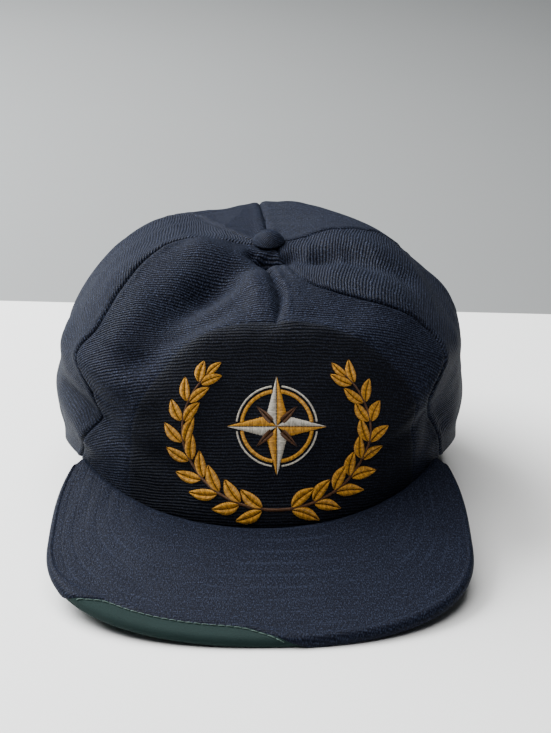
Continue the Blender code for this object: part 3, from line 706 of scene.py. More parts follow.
# %% [markdown]
# At a seam the edges of both panels are turned in and sewn together, which leaves a narrow
# groove with a soft ridge on each side. The thread gathers the cloth a little, so the ridge
# comes and goes. This is a relief on the outer face, finest where the points lie closest.

# %% Relief of a seam
SEAM_ROLL = 0.0012      # depth and width of the roll at a panel's edge
ROLL_WIDTH = 0.00065
PUCKER = 0.00028        # height of the puckers, their distance from the seam, width and pitch
PUCKER_PLACE = 0.0026
PUCKER_WIDTH = 0.0015
PUCKER_PITCH = 0.0075


def seam_relief(distance, rise):
    """The edge of a panel rolls down into the seam and puckers beside it."""
    roll = -SEAM_ROLL * np.exp(-(np.abs(distance) / ROLL_WIDTH)**1.6)
    pucker = 1.0 + 0.6 * np.sin(2 * math.pi * rise * CLIMB / PUCKER_PITCH) * np.sin(rise * 61.0)
    return roll + PUCKER * pucker * np.exp(-((distance - PUCKER_PLACE) / PUCKER_WIDTH)**2)


def crowded(count, share=0.8):
    """Numbers from 0 to 1 that lie closer together at both ends."""
    t = np.linspace(0.0, 1.0, count)
    return t - share * np.sin(2 * math.pi * t) / (2 * math.pi)


print("relief beside a seam, mm", 1000 * seam_relief(np.array([0.0, 0.001, 0.0026, 0.005]), 0.5))

# %% [markdown]
# A panel is a grid between its two seams. The inner face follows the same folds and lies deeper
# than the cloth's thickness above the sweatband, where no edge shows it, so that no crease of
# the outer face cuts through it.

# %% Panels
CLOTH = 0.0016
INNER_OFF = 0.0002      # the inner face lies this much deeper than the cloth, and above the
INNER_DEEPER = 0.0011   # sweatband so much more
RIB_DRAW = 0.0028       # ribs are drawn down so far at a seam, over this width beside it
RIB_DRAW_WIDTH = 0.014


def add_panel(name, node, left, right, axis, columns, rows):
    """A panel between two seams that run from the rim to the button."""
    rise = np.repeat(np.linspace(0.0, TOP_RISE, rows)[:, None], columns, axis=1)
    a0 = seam_angle(left, rise)
    a1 = seam_angle(right, rise)
    angle = a0 + (a1 - a0) * crowded(columns)[None, :]
    return finish_panel(name, node, angle, rise, a0, a1, axis)


def finish_panel(name, node, angle, rise, a0, a1, axis):
    """The wall, the maps and the place in the frame of a panel."""
    reach = 0.5 * (ring("width", rise) * RIM_HALF_WIDTH + ring("front", rise) * RIM_HALF_LENGTH)
    left_gap = (angle - a0) * reach
    right_gap = (a1 - angle) * reach
    relief = seam_relief(left_gap, rise) + seam_relief(right_gap, rise)
    outer = crown_point(angle, rise, fine=True, relief=relief)
    above_band = np.clip((rise[thin] - 0.22) / 0.10, 0.0, 1.0)
    thick = CLOTH + INNER_OFF + INNER_DEEPER * above_band
    inner = crown_point(angle[thin], rise[thin], thick, fine=True)
    near = np.minimum(left_gap, right_gap)
    flat = flat_place(angle, rise, axis)
    flat[..., 1] += RIB_DRAW * np.clip(1.0 - near / RIB_DRAW_WIDTH, 0.0, 1.0)**2
    maps = {"cloth": flat, "patch": np.stack([plate(angle, rise), rise], -1)}
    piece = wall_mesh(name, outer, inner, maps, FRONT_KNIT if node == "front_panel" else KNIT)
    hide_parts(node)
    return piece


add_panel("knit_front_panel", "front_panel", "front_left", "front_right", 0.0, 289, 305)
add_panel("knit_right_side_panel", "right_side_panel", "front_right", "back_right",
          math.radians(88), 161, 225)
add_panel("knit_left_side_panel", "left_side_panel", "back_left", "front_left",
          math.radians(-90), 161, 225)

# %% [markdown]
# The two back panels are cut away below for the half-moon opening. It could be cut with a
# boolean, which leaves ragged faces at the edge. Here the lowest row of points follows the curve
# and the rows above bend gently with it, so the edge is clean and the ribs stay even.

# %% Back panels
OPENING_HALF_WIDTH = 0.447 * RIM_HALF_WIDTH
OPENING_HEIGHT = 0.0460


def add_back_panel(name, node, side):
    """A back panel from its seam to the middle, where its foot climbs over the opening."""
    seam = "back_right" if side > 0 else "back_left"
    half = math.asin(OPENING_HALF_WIDTH / RIM_HALF_WIDTH)
    top_rise = OPENING_HEIGHT / CLIMB
    place = np.concatenate([np.linspace(0.0, 1.0, 45)[:-1], 1.0 + np.linspace(0.0, 1.0, 81)])
    turn = math.pi / 2 * np.clip(place - 1.0, 0.0, 1.0)**0.85
    foot = top_rise * np.sin(turn)
    up = np.linspace(0.0, 1.0, 201)[:, None]
    rise = TOP_RISE * up + foot[None, :] * (1.0 - up)**2
    start = np.abs(seam_angle(seam, rise))
    low_seam = float(np.abs(seam_angle(seam, 0.0)))
    low = np.where(place < 1.0, low_seam + (math.pi - half - low_seam) * place,
                   math.pi - half * np.cos(turn))
    share = ((low - low_seam) / (math.pi - low_seam))[None, :]
    angle = start + (math.pi - start) * share
    angle = side * angle
    a0 = side * start
    a1 = np.full_like(rise, side * math.pi)
    if side < 0:
        rise, angle, a0, a1 = rise[:, ::-1], angle[:, ::-1], a1[:, ::-1], a0[:, ::-1]
    return finish_panel(name, node, angle, rise, a0, a1, side * math.radians(150))


add_back_panel("knit_right_back_panel", "right_back_panel", 1)
add_back_panel("knit_left_back_panel", "left_back_panel", -1)

# %% [markdown]
# ## The visor
# A stiff board is covered on top with the crown's yarn in a finer knit. On both sides the navy
# cloth goes over the edge and ends below. At the front left the edge has rolled up, so that the
# green cloth of the underside shows as a crescent, with the pale thread of its seam above it. It
# could be one board with painted borders. Two cloths with walls of their own show the hem and
# the lip as real edges.

# %% Outline of the visor
VISOR_CORNER = 2.34     # how square the front of the outline is, and its sides near the crown
VISOR_SIDE = 3.30
WIDEST = 0.838          # share of the depth, from the front, at which the visor is widest
END_WIDTH = 0.00968     # the visor's walls begin where it is this wide, at both ends


def outline_points():
    """The visor's outer edge in plan, from its left end round the front to its right end."""
    end_x = RIM_HALF_WIDTH * math.sin(math.radians(VISOR_END))
    front_y = -RIM_HALF_LENGTH - VISOR_DEPTH
    widest_y = front_y + WIDEST * VISOR_DEPTH
    turn = np.linspace(0.0, math.pi, 321)
    x = -VISOR_HALF_WIDTH * np.sign(np.cos(turn)) * np.abs(np.cos(turn))**(2 / VISOR_CORNER)
    y = widest_y - (widest_y - front_y) * np.sin(turn)**(2 / VISOR_CORNER)
    back = np.linspace(0.0, 1.0, 81)[1:]
    side_x = VISOR_HALF_WIDTH - (VISOR_HALF_WIDTH - end_x) * back**VISOR_SIDE
    side_y = widest_y + (END_Y - widest_y) * back
    x = np.concatenate([-side_x[::-1], x, side_x])
    y = np.concatenate([side_y[::-1], y, side_y])
    return x, y


def visor_plan(u, out):
    """Place in plan on the visor. u runs from -1 at its left end to 1, out from seam to edge."""
    x, y = outline_points()
    length = run_length(np.stack([x, y], -1))
    edge_x = np.interp((u + 1) / 2 * length[-1], length, x)
    edge_y = np.interp((u + 1) / 2 * length[-1], length, y)
    angle = u * math.radians(VISOR_END)
    reach = GAP + rim_plan(angle)
    seam_x = reach * np.sin(angle)
    seam_y = -reach * np.cos(angle)
    return seam_x + (edge_x - seam_x) * out, seam_y + (edge_y - seam_y) * out


def visor_width(u):
    """Distance from the seam to the edge along a line of the visor."""
    x0, y0 = visor_plan(u, 0.0)
    x1, y1 = visor_plan(u, 1.0)
    return np.hypot(x1 - x0, y1 - y0)


def visor_end():
    """The last place along the visor that is wide enough for its walls."""
    end = 1.0
    while visor_width(end) < END_WIDTH:
        end -= 0.002
    return end


END = visor_end()
print("visor wide in its middle", visor_width(0.0), "and its walls end at", END)

# %% [markdown]
# The skin of the visor runs from the seam out over the top, round the edge in half a circle and
# back below. A place on it is a share along the edge and a way over the edge, so both cloths are
# drawn with the same function and meet where they should.

# %% Skin of the visor
LIP = 0.0078            # the green lip on top, at the front left and at both sides
LIP_SIDE = 0.0026
ROUND = VISOR_THICKNESS / 2             # radius of the visor's round edge
OVER = math.pi * ROUND                  # way over the edge, from its top to below


def lip_width(u):
    """How far the under cloth turns over the top along the edge."""
    share = np.clip((np.abs(u + 0.21) - 0.18) / 0.16, 0.0, 1.0)
    return LIP + (LIP_SIDE - LIP) * share


def visor_skin(u, way, out=0.0):
    """A place on the visor's skin. The way is 0 where the round edge begins on top, less than 0
    towards the crown, and OVER where the edge ends below. Out stands off the skin."""
    turn = np.clip(way / ROUND, 0.0, math.pi)
    beyond = np.clip(way - OVER, 0.0, None)
    inside = ROUND - np.minimum(way, 0.0) + beyond - (ROUND + out) * np.sin(turn)
    height = ROUND + (ROUND + out) * np.cos(turn)
    x, y = visor_plan(u, 1.0 - inside / visor_width(u))
    return np.stack([x, y, visor_top(x, y) - VISOR_THICKNESS + height], -1)


print("way over the edge", OVER, "front edge at", visor_skin(0.0, OVER / 2))

# %% [markdown]
# The navy cloth ends on top only where the green crescent shows. A smooth share between 0 and 1
# moves its border from below the edge to the top and back.

# %% Where the navy cloth ends
NAVY_BELOW = 0.0045     # elsewhere it runs on this far under the visor


def crescent(u):
    """1 at the front left, where the green cloth shows, and 0 elsewhere."""
    start = np.clip((u + 0.59) / 0.24, 0.0, 1.0)
    stop = np.clip((0.27 - u) / 0.36, 0.0, 1.0)
    return (start * start * (3 - 2 * start)) * (stop * stop * (3 - 2 * stop))


def navy_border(u):
    """Where the navy cloth ends: on top at the crescent, below elsewhere."""
    shown = crescent(u)
    return shown * (ROUND - lip_width(u)) + (1.0 - shown) * (OVER + NAVY_BELOW)


print("navy border at left, crescent and right", navy_border(np.array([-0.9, -0.2, 0.9])))


# %% [markdown]
# The top cloth is drawn over that skin. Its columns lie closer together at both ends, where the
# visor turns, and its rows closer together near the border, where the cloth is tucked in.

# %% Grid of the visor top
AROUND = 385
VISOR_ROWS = 113
NAVY_OFF = 0.00045      # the navy cloth stands this far off the form near the edge
around = END * (0.62 * np.linspace(-1, 1, AROUND)
                + 0.38 * np.sin(np.linspace(-math.pi / 2, math.pi / 2, AROUND)))
half_edge = float(np.sum(np.hypot(*np.diff(outline_points())))) / 2
u = np.repeat(around[None, :], VISOR_ROWS, axis=0)
share = np.linspace(0.0, 1.0, VISOR_ROWS)[:, None]
width = visor_width(u)
border = navy_border(u)
way = (ROUND - width) + (border + width - ROUND) * (share + 0.10 * np.sin(math.pi * share))
inside = ROUND - way
hem = border - way
print("half of the edge", half_edge, "rows", VISOR_ROWS, "columns", AROUND)

# %% [markdown]
# Its relief is small: soft swells, a hem that dips at the border with a ridge beside it, a dip
# along the crown, and the rows of stitching. On the flat part it lifts straight up. Round the
# edge it lifts off the skin.

# %% Relief of the visor top
off = NAVY_OFF * np.clip((way + lip_width(u) - ROUND + 0.0012) / 0.0012, 0.0, 1.0)
lift = off + 0.00012 * waves(u * 0.13, inside, 0.020, 5) * np.clip(inside / 0.01, 0.0, 1.0)
lift = lift - 0.0008 * np.exp(-(hem / 0.0007)**2)
lift = lift + 0.00020 * np.exp(-((hem - 0.0022) / 0.0012)**2)
lift = lift - 0.0014 * np.exp(-((width - inside) / 0.0013)**2)
line = np.abs((inside - ROW_FIRST + ROW_STEP / 2) % ROW_STEP - ROW_STEP / 2)
lift = lift - 0.00003 * np.exp(-(line / 0.0007)**2) * np.clip((inside - 0.007) / 0.001, 0.0, 1.0)
flat = np.clip(-way / 0.002, 0.0, 1.0)
print("visor relief from", lift.min(), "to", lift.max())

# %% [markdown]
# The wall holds the cloth and, further in, the whole board. Near the edge it is thin, since the
# green lip lies under it there.

# %% Visor top
SKIN = 0.0006           # thickness of the wall near the edge
outer = visor_skin(u, way, lift * (1 - flat)) + np.stack([0 * u, 0 * u, lift * flat], -1)
board = np.clip((inside[thin] - 0.0075) / 0.003, 0.0, 1.0)
inner = visor_skin(u[thin], way[thin], (off[thin] - SKIN) * (1 - flat[thin]))
inner[..., 2] -= (SKIN + (VISOR_BOARD - SKIN) * board) * flat[thin]
unrolled_x, unrolled_y = visor_plan(u, 1.0 - inside / width)
maps = {"cloth": np.stack([unrolled_x, -unrolled_y], -1)[:, ::-1],
        "rows": np.stack([inside, u * half_edge], -1)[:, ::-1]}
visor = wall_mesh("knit_visor_top", outer[:, ::-1], inner[:, ::-1], maps, VISOR_KNIT)
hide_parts("visor_top_cloth")

# %% [markdown]
# The green cloth below the visor has a smooth tight weave. A picture of cloth could be laid on
# it, but two crossing waves and a little grain make a weave that stays sharp at any distance.

# %% Woven cloth
def twill_finish(name, dark, light, pitch):
    """Plain cloth with a fine slanting weave."""
    f = Finish(name, 0.8)
    u, v = f.map("cloth")
    turn = f.times(f.plus(u, v), 2 * math.pi / pitch)
    cross = f.times(f.minus(u, v), 2 * math.pi / pitch)
    weave = f.times(f.math("SINE", turn), f.math("SINE", cross))
    weave = f.ramp(weave, -0.8, 0.8)
    grain = f.noise(f.place(u, v), 1200.0, 2.0, 0.6)
    patch = f.noise(f.body(), 60.0, 3.0, 0.6)
    base = f.mix(f.times(weave, f.ramp(grain, 0.3, 0.7, 0.4, 1.0)), dark, light)
    base = f.mix(f.ramp(patch, 0.3, 0.8, 0.0, 0.25), base, dark)
    f.give("Base Color", base)
    f.give("Sheen Weight", 0.03)
    f.give("Specular IOR Level", 0.1)
    f.bump(f.plus(weave, grain), 0.0002, 0.7)
    return f.material


GREEN = twill_finish("green_under_twill", (0.005, 0.014, 0.013), (0.013, 0.030, 0.028), 0.0007)
print("woven cloth", GREEN.name)

# %% [markdown]
# It is one wall that starts at the seam below, runs out under the board, turns up round the edge
# and ends on top in a narrow lip. Its inner face lies a cloth's thickness inside the skin.

# %% Under cloth
UNDER_ROWS = 49
u = np.repeat(around[None, :], UNDER_ROWS, axis=0)
share = np.linspace(0.0, 1.0, UNDER_ROWS)[:, None]
start = OVER + visor_width(u) - ROUND
way = start + (ROUND - lip_width(u) - start) * (share + 0.14 * np.sin(math.pi * share))
outer = visor_skin(u, way)
inner = visor_skin(u[thin], way[thin], -UNDER_CLOTH)
inner[..., 2] += np.where(way[thin] > OVER, UNDER_CLOTH, 0.0)
inner[..., 2] -= np.where(way[thin] < 0, UNDER_CLOTH, 0.0)
maps = {"cloth": np.stack([u * half_edge, run_length(outer)], -1)}
under = wall_mesh("green_visor_under", outer, inner, maps, GREEN)
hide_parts("visor_under_cloth")

# %% [markdown]
# The seam between both cloths shows at the crescent as a pale green thread in separate
# stitches. A curve with a bevel could draw them. Plain tubes of six sides are closed at both
# ends and get thinner there, as a stitch does where it goes into the cloth.

# %% Tubes of thread
SIDES = 6


def tubes(name, lines, radius, material):
    """Round threads along lines of points, closed at both ends."""
    points = []
    faces = []
    for line in lines:
        ahead = np.gradient(line, axis=0)
        ahead /= np.linalg.norm(ahead, axis=1, keepdims=True)
        side = np.cross(ahead, (0.0, 0.0, 1.0))
        side /= np.linalg.norm(side, axis=1, keepdims=True)
        up = np.cross(side, ahead)
        first = len(points)
        for k, place in enumerate(line):
            thick = radius * math.sin(math.pi * (0.12 + 0.76 * k / (len(line) - 1)))**0.4
            for turn in np.linspace(0, 2 * math.pi, SIDES, endpoint=False):
                points.append(place + thick * (math.cos(turn) * side[k] + math.sin(turn) * up[k]))
        for k in range(len(line) - 1):
            for n in range(SIDES):
                a = first + SIDES * k + n
                b = first + SIDES * k + (n + 1) % SIDES
                faces.append((a, a + SIDES, b + SIDES, b))
        last = first + SIDES * (len(line) - 1)
        faces.append(tuple(first + n for n in range(SIDES)))
        faces.append(tuple(last + n for n in range(SIDES))[::-1])
    piece = new_piece(name, (np.array(points) + SHIFT).tolist(), faces, material)
    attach(piece, "root")
    print(name, "threads", len(lines), "faces", len(faces))
    return piece


# %% [markdown]
# The stitches follow the navy border and bulge up in their middle, as thread does between the
# two places where the needle went in.

# %% Edge thread
THREAD_RADIUS = 0.00022
STITCH = 0.0172         # a stitch and the way to the next one, as shares of half the edge
STITCH_STEP = 0.0190


def thread_finish(name, dark, light):
    """Twisted yarn, seen as a fine streaky grain."""
    f = Finish(name, 0.6)
    streak = f.noise(f.body(), 1600.0, 2.0, 0.6)
    f.give("Base Color", f.mix(f.ramp(streak, 0.35, 0.65), dark, light))
    f.bump(streak, 0.0001, 0.5)
    return f.material


lines = []
for place in np.arange(-0.44, 0.04, STITCH_STEP):
    u = np.linspace(place, place + STITCH, 7)
    bulge = 0.00012 + 0.00018 * np.sin(np.linspace(0, math.pi, 7))
    lines.append(visor_skin(u, navy_border(u) + 0.0004, bulge))
tubes("edge_thread", lines, THREAD_RADIUS,
      thread_finish("pale_green_thread", (0.014, 0.036, 0.028), (0.050, 0.096, 0.078)))
print("a stitch is so long", STITCH * half_edge)

# %% [markdown]
# ## The button
# A small tin dome covered with the same knit, pulled tight, so it has few wrinkles. A round body
# is easiest as a profile that is turned about its middle. The ribs run aslant over the dome, and
# their map is measured along the profile, so that they keep their pitch on its steep side.

# %% Round bodies
def turned(name, profile, steps, centre, tilt, material):
    """A round body from a profile of radius and height, from its top middle outwards. The tilt
    lowers its front."""
    turn = np.linspace(0, 2 * math.pi, steps, endpoint=False)
    points = [(0.0, 0.0, profile[0][1])]
    for radius, height in profile[1:]:
        for k, a in enumerate(turn):
            points.append((radius * math.cos(a), radius * math.sin(a), height))
    faces = [(0, 1 + k, 1 + (k + 1) % steps) for k in range(steps)]
    for r in range(len(profile) - 2):
        for k in range(steps):
            a = 1 + r * steps + k
            b = 1 + r * steps + (k + 1) % steps
            faces.append((a, a + steps, b + steps, b))
    last = 1 + (len(profile) - 2) * steps
    faces.append(tuple(last + k for k in range(steps))[::-1])
    lean = np.array([[1.0, 0.0, 0.0], [0.0, math.cos(tilt), math.sin(tilt)],
                     [0.0, -math.sin(tilt), math.cos(tilt)]])
    piece = new_piece(name, (np.array(points) @ lean + centre).tolist(), faces, material)
    way = [math.dist(a, b) for a, b in zip(profile[:-1], profile[1:])]
    places = []
    for k, (x, y, _) in enumerate(points):
        out = sum(way[:(k + steps - 1) // steps])
        share = 0.7 * out / max(math.hypot(x, y), 1e-6)
        places.append((share * (x + y), share * (y - x)))
    draw_map(piece.data, "cloth", np.array(places))
    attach(piece, "root")
    print(name, "faces", len(faces))
    return piece


# %% [markdown]
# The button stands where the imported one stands. It leans a little towards the visor, because the
# cloth below it is pressed in there.

# %% Button
BUTTON_RADIUS = 0.0074
BUTTON_HEIGHT = 0.0058
BUTTON_TILT = 12
low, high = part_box("top_button")
centre = np.array([(low[0] + high[0]) / 2, (low[1] + high[1]) / 2, low[2]])
profile = []
for k in range(17):
    out = math.sin(math.pi / 2 * k / 16)
    profile.append((BUTTON_RADIUS * out, BUTTON_HEIGHT * (0.20 + 0.80 * (1.0 - out**2.3))))
profile += [(BUTTON_RADIUS, BUTTON_HEIGHT * 0.10), (BUTTON_RADIUS * 0.94, 0.0),
            (BUTTON_RADIUS * 0.5, 0.0)]
button = turned("knit_top_button", profile, 64, centre, math.radians(BUTTON_TILT),
                BUTTON_KNIT)
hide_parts("top_button")

# %% [markdown]
# ## The embroidery
# Gold, white and brown satin stitch on the arched patch. A wreath of two leafy sprigs grows up
# from the middle below and stays open above, round a compass star in a thin ring. Each leaf is
# two pads of thread that meet at its middle line. A pad lies between two edges, its threads run
# from one to the other, and it swells in between. A flat pattern on the cloth would be quicker,
# but real satin stitch stands up and shines, so each pad is a small form of its own.

# %% Place on the front
FRONT_LINE = bare_point(np.zeros(400), np.linspace(0.0, 1.0, 400))
FRONT_LENGTH = run_length(FRONT_LINE)
FRONT_TURN = axis_turn(FRONT_LINE, 0.0)
EMBLEM_X = 0.0072       # middle of the emblem, from the crown's middle plane
EMBLEM_UP = 0.0445      # and from the rim, up the front's middle line


def front_place(x, up):
    """Angle and rise of a place given by its x and its way up the front's middle line.
    The guess is corrected nine times by how far it misses the place."""
    angle = x / RIM_HALF_WIDTH
    rise = up / CLIMB

    def miss(a, r):
        point = bare_point(a, r)
        return np.stack([point[..., 0] - x,
                         np.interp(axis_turn(point, 0.0), FRONT_TURN, FRONT_LENGTH) - up])

    for _ in range(9):
        now = miss(angle, rise)
        by_angle = (miss(angle + 1e-3, rise) - now) / 1e-3
        by_rise = (miss(angle, rise + 1e-3) - now) / 1e-3
        area = by_angle[0] * by_rise[1] - by_angle[1] * by_rise[0]
        angle = angle - (now[0] * by_rise[1] - now[1] * by_rise[0]) / area
        rise = rise - (now[1] * by_angle[0] - now[0] * by_angle[1]) / area
    return angle, rise


middle = front_place(np.array([EMBLEM_X]), np.array([EMBLEM_UP]))
print("middle of the emblem, angle and rise", float(middle[0][0]), float(middle[1][0]))

# %% [markdown]
# A pad is drawn flat in millimetres between two edges and gets its swell there. When all pads of
# one colour are drawn, they are laid on the cloth together. Its ends are a little ragged, as real
# satin stitch is.

# %% Satin pads
RAGGED = 0.10
PAD_DEPTH = 0.35        # how deep a pad's lower face lies in the cloth, millimetres


class Embroidery:
    """Pads of one colour, gathered into one piece. Edges are in millimetres on the emblem."""

    def __init__(self):
        self.plane = []
        self.height = []
        self.thread = []
        self.faces = []

    def pad(self, edge_a, edge_b, swell=0.75, across=4):
        """A pad between two lines of points, so high at most in its middle."""
        edge_a = np.array(edge_a, float)
        edge_b = np.array(edge_b, float)
        count = len(edge_a)
        share = np.linspace(0.0, 1.0, across + 1)[None, :, None]
        loose = RAGGED * (np.arange(count) % 2 - 0.5)[:, None, None]
        share = share + loose * (2 * share - 1.0) * 0.5
        grid = edge_a[:, None] + (edge_b - edge_a)[:, None] * share
        width = np.linalg.norm(edge_b - edge_a, axis=1)[:, None]
        round_share = np.sin(math.pi * np.linspace(0.0, 1.0, across + 1))[None, :]
        top = np.minimum(swell, 0.12 + 0.33 * width) * round_share**0.6
        length = run_length((edge_a + edge_b) / 2)
        first = sum(len(part) for part in self.plane)
        for level in (top, np.full_like(top, -PAD_DEPTH)):
            self.plane.append(grid.reshape(-1, 2))
            self.height.append(level.ravel())
            self.thread.append(np.stack([np.repeat(length[:, None], across + 1, 1),
                                         np.repeat(share[:1, :, 0] * width.max(), count, 0)],
                                        -1).reshape(-1, 2))
        k = first + np.arange(count * (across + 1)).reshape(count, across + 1)
        j = k + count * (across + 1)
        if np.cross(edge_a[-1] - edge_a[0], (edge_b - edge_a)[count // 2]) > 0:
            k, j = k[:, ::-1], j[:, ::-1]
        self.faces += grid_faces(k) + grid_faces(j, outward=False)
        for near, far in borders(k, j):
            self.faces += np.stack([near[:-1], far[:-1], far[1:], near[1:]], -1).tolist()

    def sew(self, name, material):
        """All pads so far become one piece on the cloth."""
        plane = np.concatenate(self.plane) / 1000.0
        height = np.concatenate(self.height) / 1000.0
        thread = np.concatenate(self.thread) / 1000.0
        angle, rise = front_place(EMBLEM_X + plane[:, 0], EMBLEM_UP + plane[:, 1])
        points = crown_point(angle, rise, fine=True, relief=height) + SHIFT
        piece = new_piece(name, points.tolist(), self.faces, material)
        draw_map(piece.data, "thread", thread)
        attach(piece, "root")
        print(name, "faces", len(self.faces), "x", plane[:, 0].min(), plane[:, 0].max())
        return piece


# %% [markdown]
# Satin stitch is glossy because its threads lie side by side. Fine lines across the pad and an
# uneven lustre along them give that look, with a little more shine than the cloth. The lustre is
# painted highlight in the thread's colour.

# %% Satin thread
STRAND = 0.00042


def satin_finish(name, dark, light):
    """Shiny thread laid side by side: fine lines across the pad and an uneven painted lustre."""
    f = Finish(name, 0.42)
    u, v = f.map("thread")
    u = f.plus(u, f.times(f.noise(f.place(u, v), 900.0, 1.0), 0.00010))
    wave = f.math("SINE", f.times(u, 2 * math.pi / STRAND))
    strand = f.plus(f.times(wave, 0.5), 0.5)
    painted_lustre = f.noise(f.place(f.times(u, 6.0), v), 300.0, 2.0, 0.6)
    base = f.mix(f.ramp(painted_lustre, 0.32, 0.66), dark, light)
    base = f.mix(f.ramp(strand, 0.0, 0.30, 0.55, 0.0), base, dark)
    f.give("Base Color", base)
    f.give("Specular IOR Level", 0.25)
    f.give("Sheen Weight", 0.02)
    f.bump(f.plus(strand, f.times(painted_lustre, 0.5)), 0.00018, 0.9)
    return f.material


gold = Embroidery()
white = Embroidery()
brown = Embroidery()
# each thread runs from its dark colour to its light one by the painted lustre
gold_thread = satin_finish("gold_satin_stitch", (0.22, 0.092, 0.005), (0.66, 0.31, 0.022))
white_thread = satin_finish("white_satin_stitch", (0.27, 0.25, 0.21), (0.62, 0.57, 0.49))
brown_thread = satin_finish("brown_satin_stitch", (0.040, 0.015, 0.005), (0.110, 0.045, 0.016))
print("threads", gold_thread.name, white_thread.name, brown_thread.name)

# %% [markdown]
# The wreath follows an ellipse on both sides. A brown stem runs along it, with pairs of gold
# leaves that get smaller towards the tip. Their sizes and directions vary a little, as sewn
# leaves do, and one more leaf closes each sprig.

# %% Line and leaf
WREATH = (41.0, 35.0)       # half width and half height of the sprigs' line, millimetres
WREATH_UP = 1.5
LEAF_PAIRS = 9
LEAF_LENGTH = (12.8, 10.0)  # of the lowest and the highest leaves
LEAF_WIDTH = (5.6, 4.5)
LEAF_SPREAD = (33, 28)      # degrees between a leaf and the stem
TIP_LEAF = (8.6, 3.4)
random = np.random.default_rng(11)


def wreath_line(turn, side):
    """The sprig's line on one side, from its turn in degrees."""
    turn = np.radians(turn)
    return np.stack([side * WREATH[0] * np.cos(turn), WREATH[1] * np.sin(turn) + WREATH_UP], -1)


def leaf(base, way, length, width):
    """Two gold pads on both sides of a leaf's middle line."""
    t = np.linspace(0.0, 1.0, 27)[:, None]
    ahead = np.array([math.cos(way), math.sin(way)])
    beside = np.array([-ahead[1], ahead[0]])
    bend = 0.06 * length * np.sin(math.pi * t)
    swell = np.sin(math.pi * t**0.85)**0.8
    for side in (-1, 1):
        middle = base + ahead * length * np.clip(t - 0.10 * swell, 0.0, 1.0) + beside * bend
        border = base + ahead * length * t + beside * (bend + side * width / 2 * swell)
        gold.pad(middle + beside * side * 0.12, border + beside * side * 0.02)


def between(pair, share):
    """A value between those at the start and the end."""
    return pair[0] + (pair[1] - pair[0]) * share


# %% [markdown]
# Both sprigs start at the middle below, where they cross, and end open above.

# %% Sprigs
for side in (-1, 1):
    turns = np.linspace(-97.0, 44.0, 141)
    line = wreath_line(turns, side)
    way = np.gradient(line, axis=0)
    way /= np.linalg.norm(way, axis=1, keepdims=True)
    beside = np.stack([-way[:, 1], way[:, 0]], -1)
    half = np.linspace(0.75, 0.40, 141)[:, None]
    brown.pad(line - beside * half, line + beside * half, swell=0.5, across=3)
    for k in range(LEAF_PAIRS):
        share = k / (LEAF_PAIRS - 1)
        at = int(16 + 116 * share)
        heading = math.atan2(way[at, 1], way[at, 0])
        length = between(LEAF_LENGTH, share) * random.uniform(0.95, 1.05)
        width = between(LEAF_WIDTH, share) * random.uniform(0.95, 1.05)
        spread = math.radians(between(LEAF_SPREAD, share))
        for lean in (-1, 1):
            base = line[at] + beside[at] * lean * 0.7
            leaf(base, heading + lean * spread + random.uniform(-0.06, 0.06), length, width)
    leaf(line[-1] - way[-1] * 1.0, math.atan2(way[-1, 1], way[-1, 0]), *TIP_LEAF)
print("pads in gold", len(gold.plane) // 2, "in brown", len(brown.plane) // 2)

# %% [markdown]
# The star has four long points, half white and half gold as if folded, and four short brown
# ones between them. A gold ring and a thin white ring go round it in four parts each.

# %% Star
STAR_UP = 3.0
STAR = np.array([0.0, STAR_UP])
LONG_POINT = (21.5, 8.0)    # reach and width, millimetres
SHORT_POINT = (12.5, 6.0)


def star_point(way, reach, width, start, shape, colours):
    """The two halves of a point. It starts at a share of its reach, and its shape gives the
    half width along it."""
    ahead = np.array([math.cos(way), math.sin(way)])
    beside = np.array([-ahead[1], ahead[0]])
    t = np.linspace(0.0, 1.0, 33)[:, None]
    line = STAR + ahead * reach * (start + (1.0 - start) * t)
    half = 0.12 + width / 2 * shape(t)
    for side, colour in zip((-1, 1), colours):
        colour.pad(line + beside * side * 0.10, line + beside * side * half)


for k in range(4):
    star_point(math.pi / 2 * k, *LONG_POINT, 0.0,
               lambda t: np.minimum(t / 0.28, (1.0 - t) / 0.72), (gold, white))
    star_point(math.pi / 2 * k + math.pi / 4, *SHORT_POINT, 0.25,
               lambda t: 0.75 * (1.0 - t), (brown, brown))

# %% [markdown]
# A ring is four arcs, and each arc is one pad between two circles. Then the three colours are
# laid on the cloth.

# %% Rings and sewing on
RINGS_OF_STAR = ((15.2, 0.80, gold), (17.4, 0.40, white))   # radius and half width
ARCS = ((0.12, 1.45), (1.69, 3.02), (3.26, 4.59), (4.83, 6.16))
for radius, half, colour in RINGS_OF_STAR:
    for start, stop in ARCS:
        t = np.linspace(start, stop, 61)
        ray = np.stack([np.cos(t), np.sin(t)], -1)
        colour.pad(STAR + ray * (radius - half), STAR + ray * (radius + half), swell=0.45, across=3)

gold.sew("embroidery_gold", gold_thread)
white.sew("embroidery_white", white_thread)
brown.sew("embroidery_brown", brown_thread)

# %% [markdown]
# ## Inside and back
# The sweatband is a soft strip round the inside of the rim, which keeps the rim in shape. It
# could be a bent strip of its own. Taken as a layer of the crown, it follows the rim and its
# folds at an even distance. It leaves the opening at the back free.

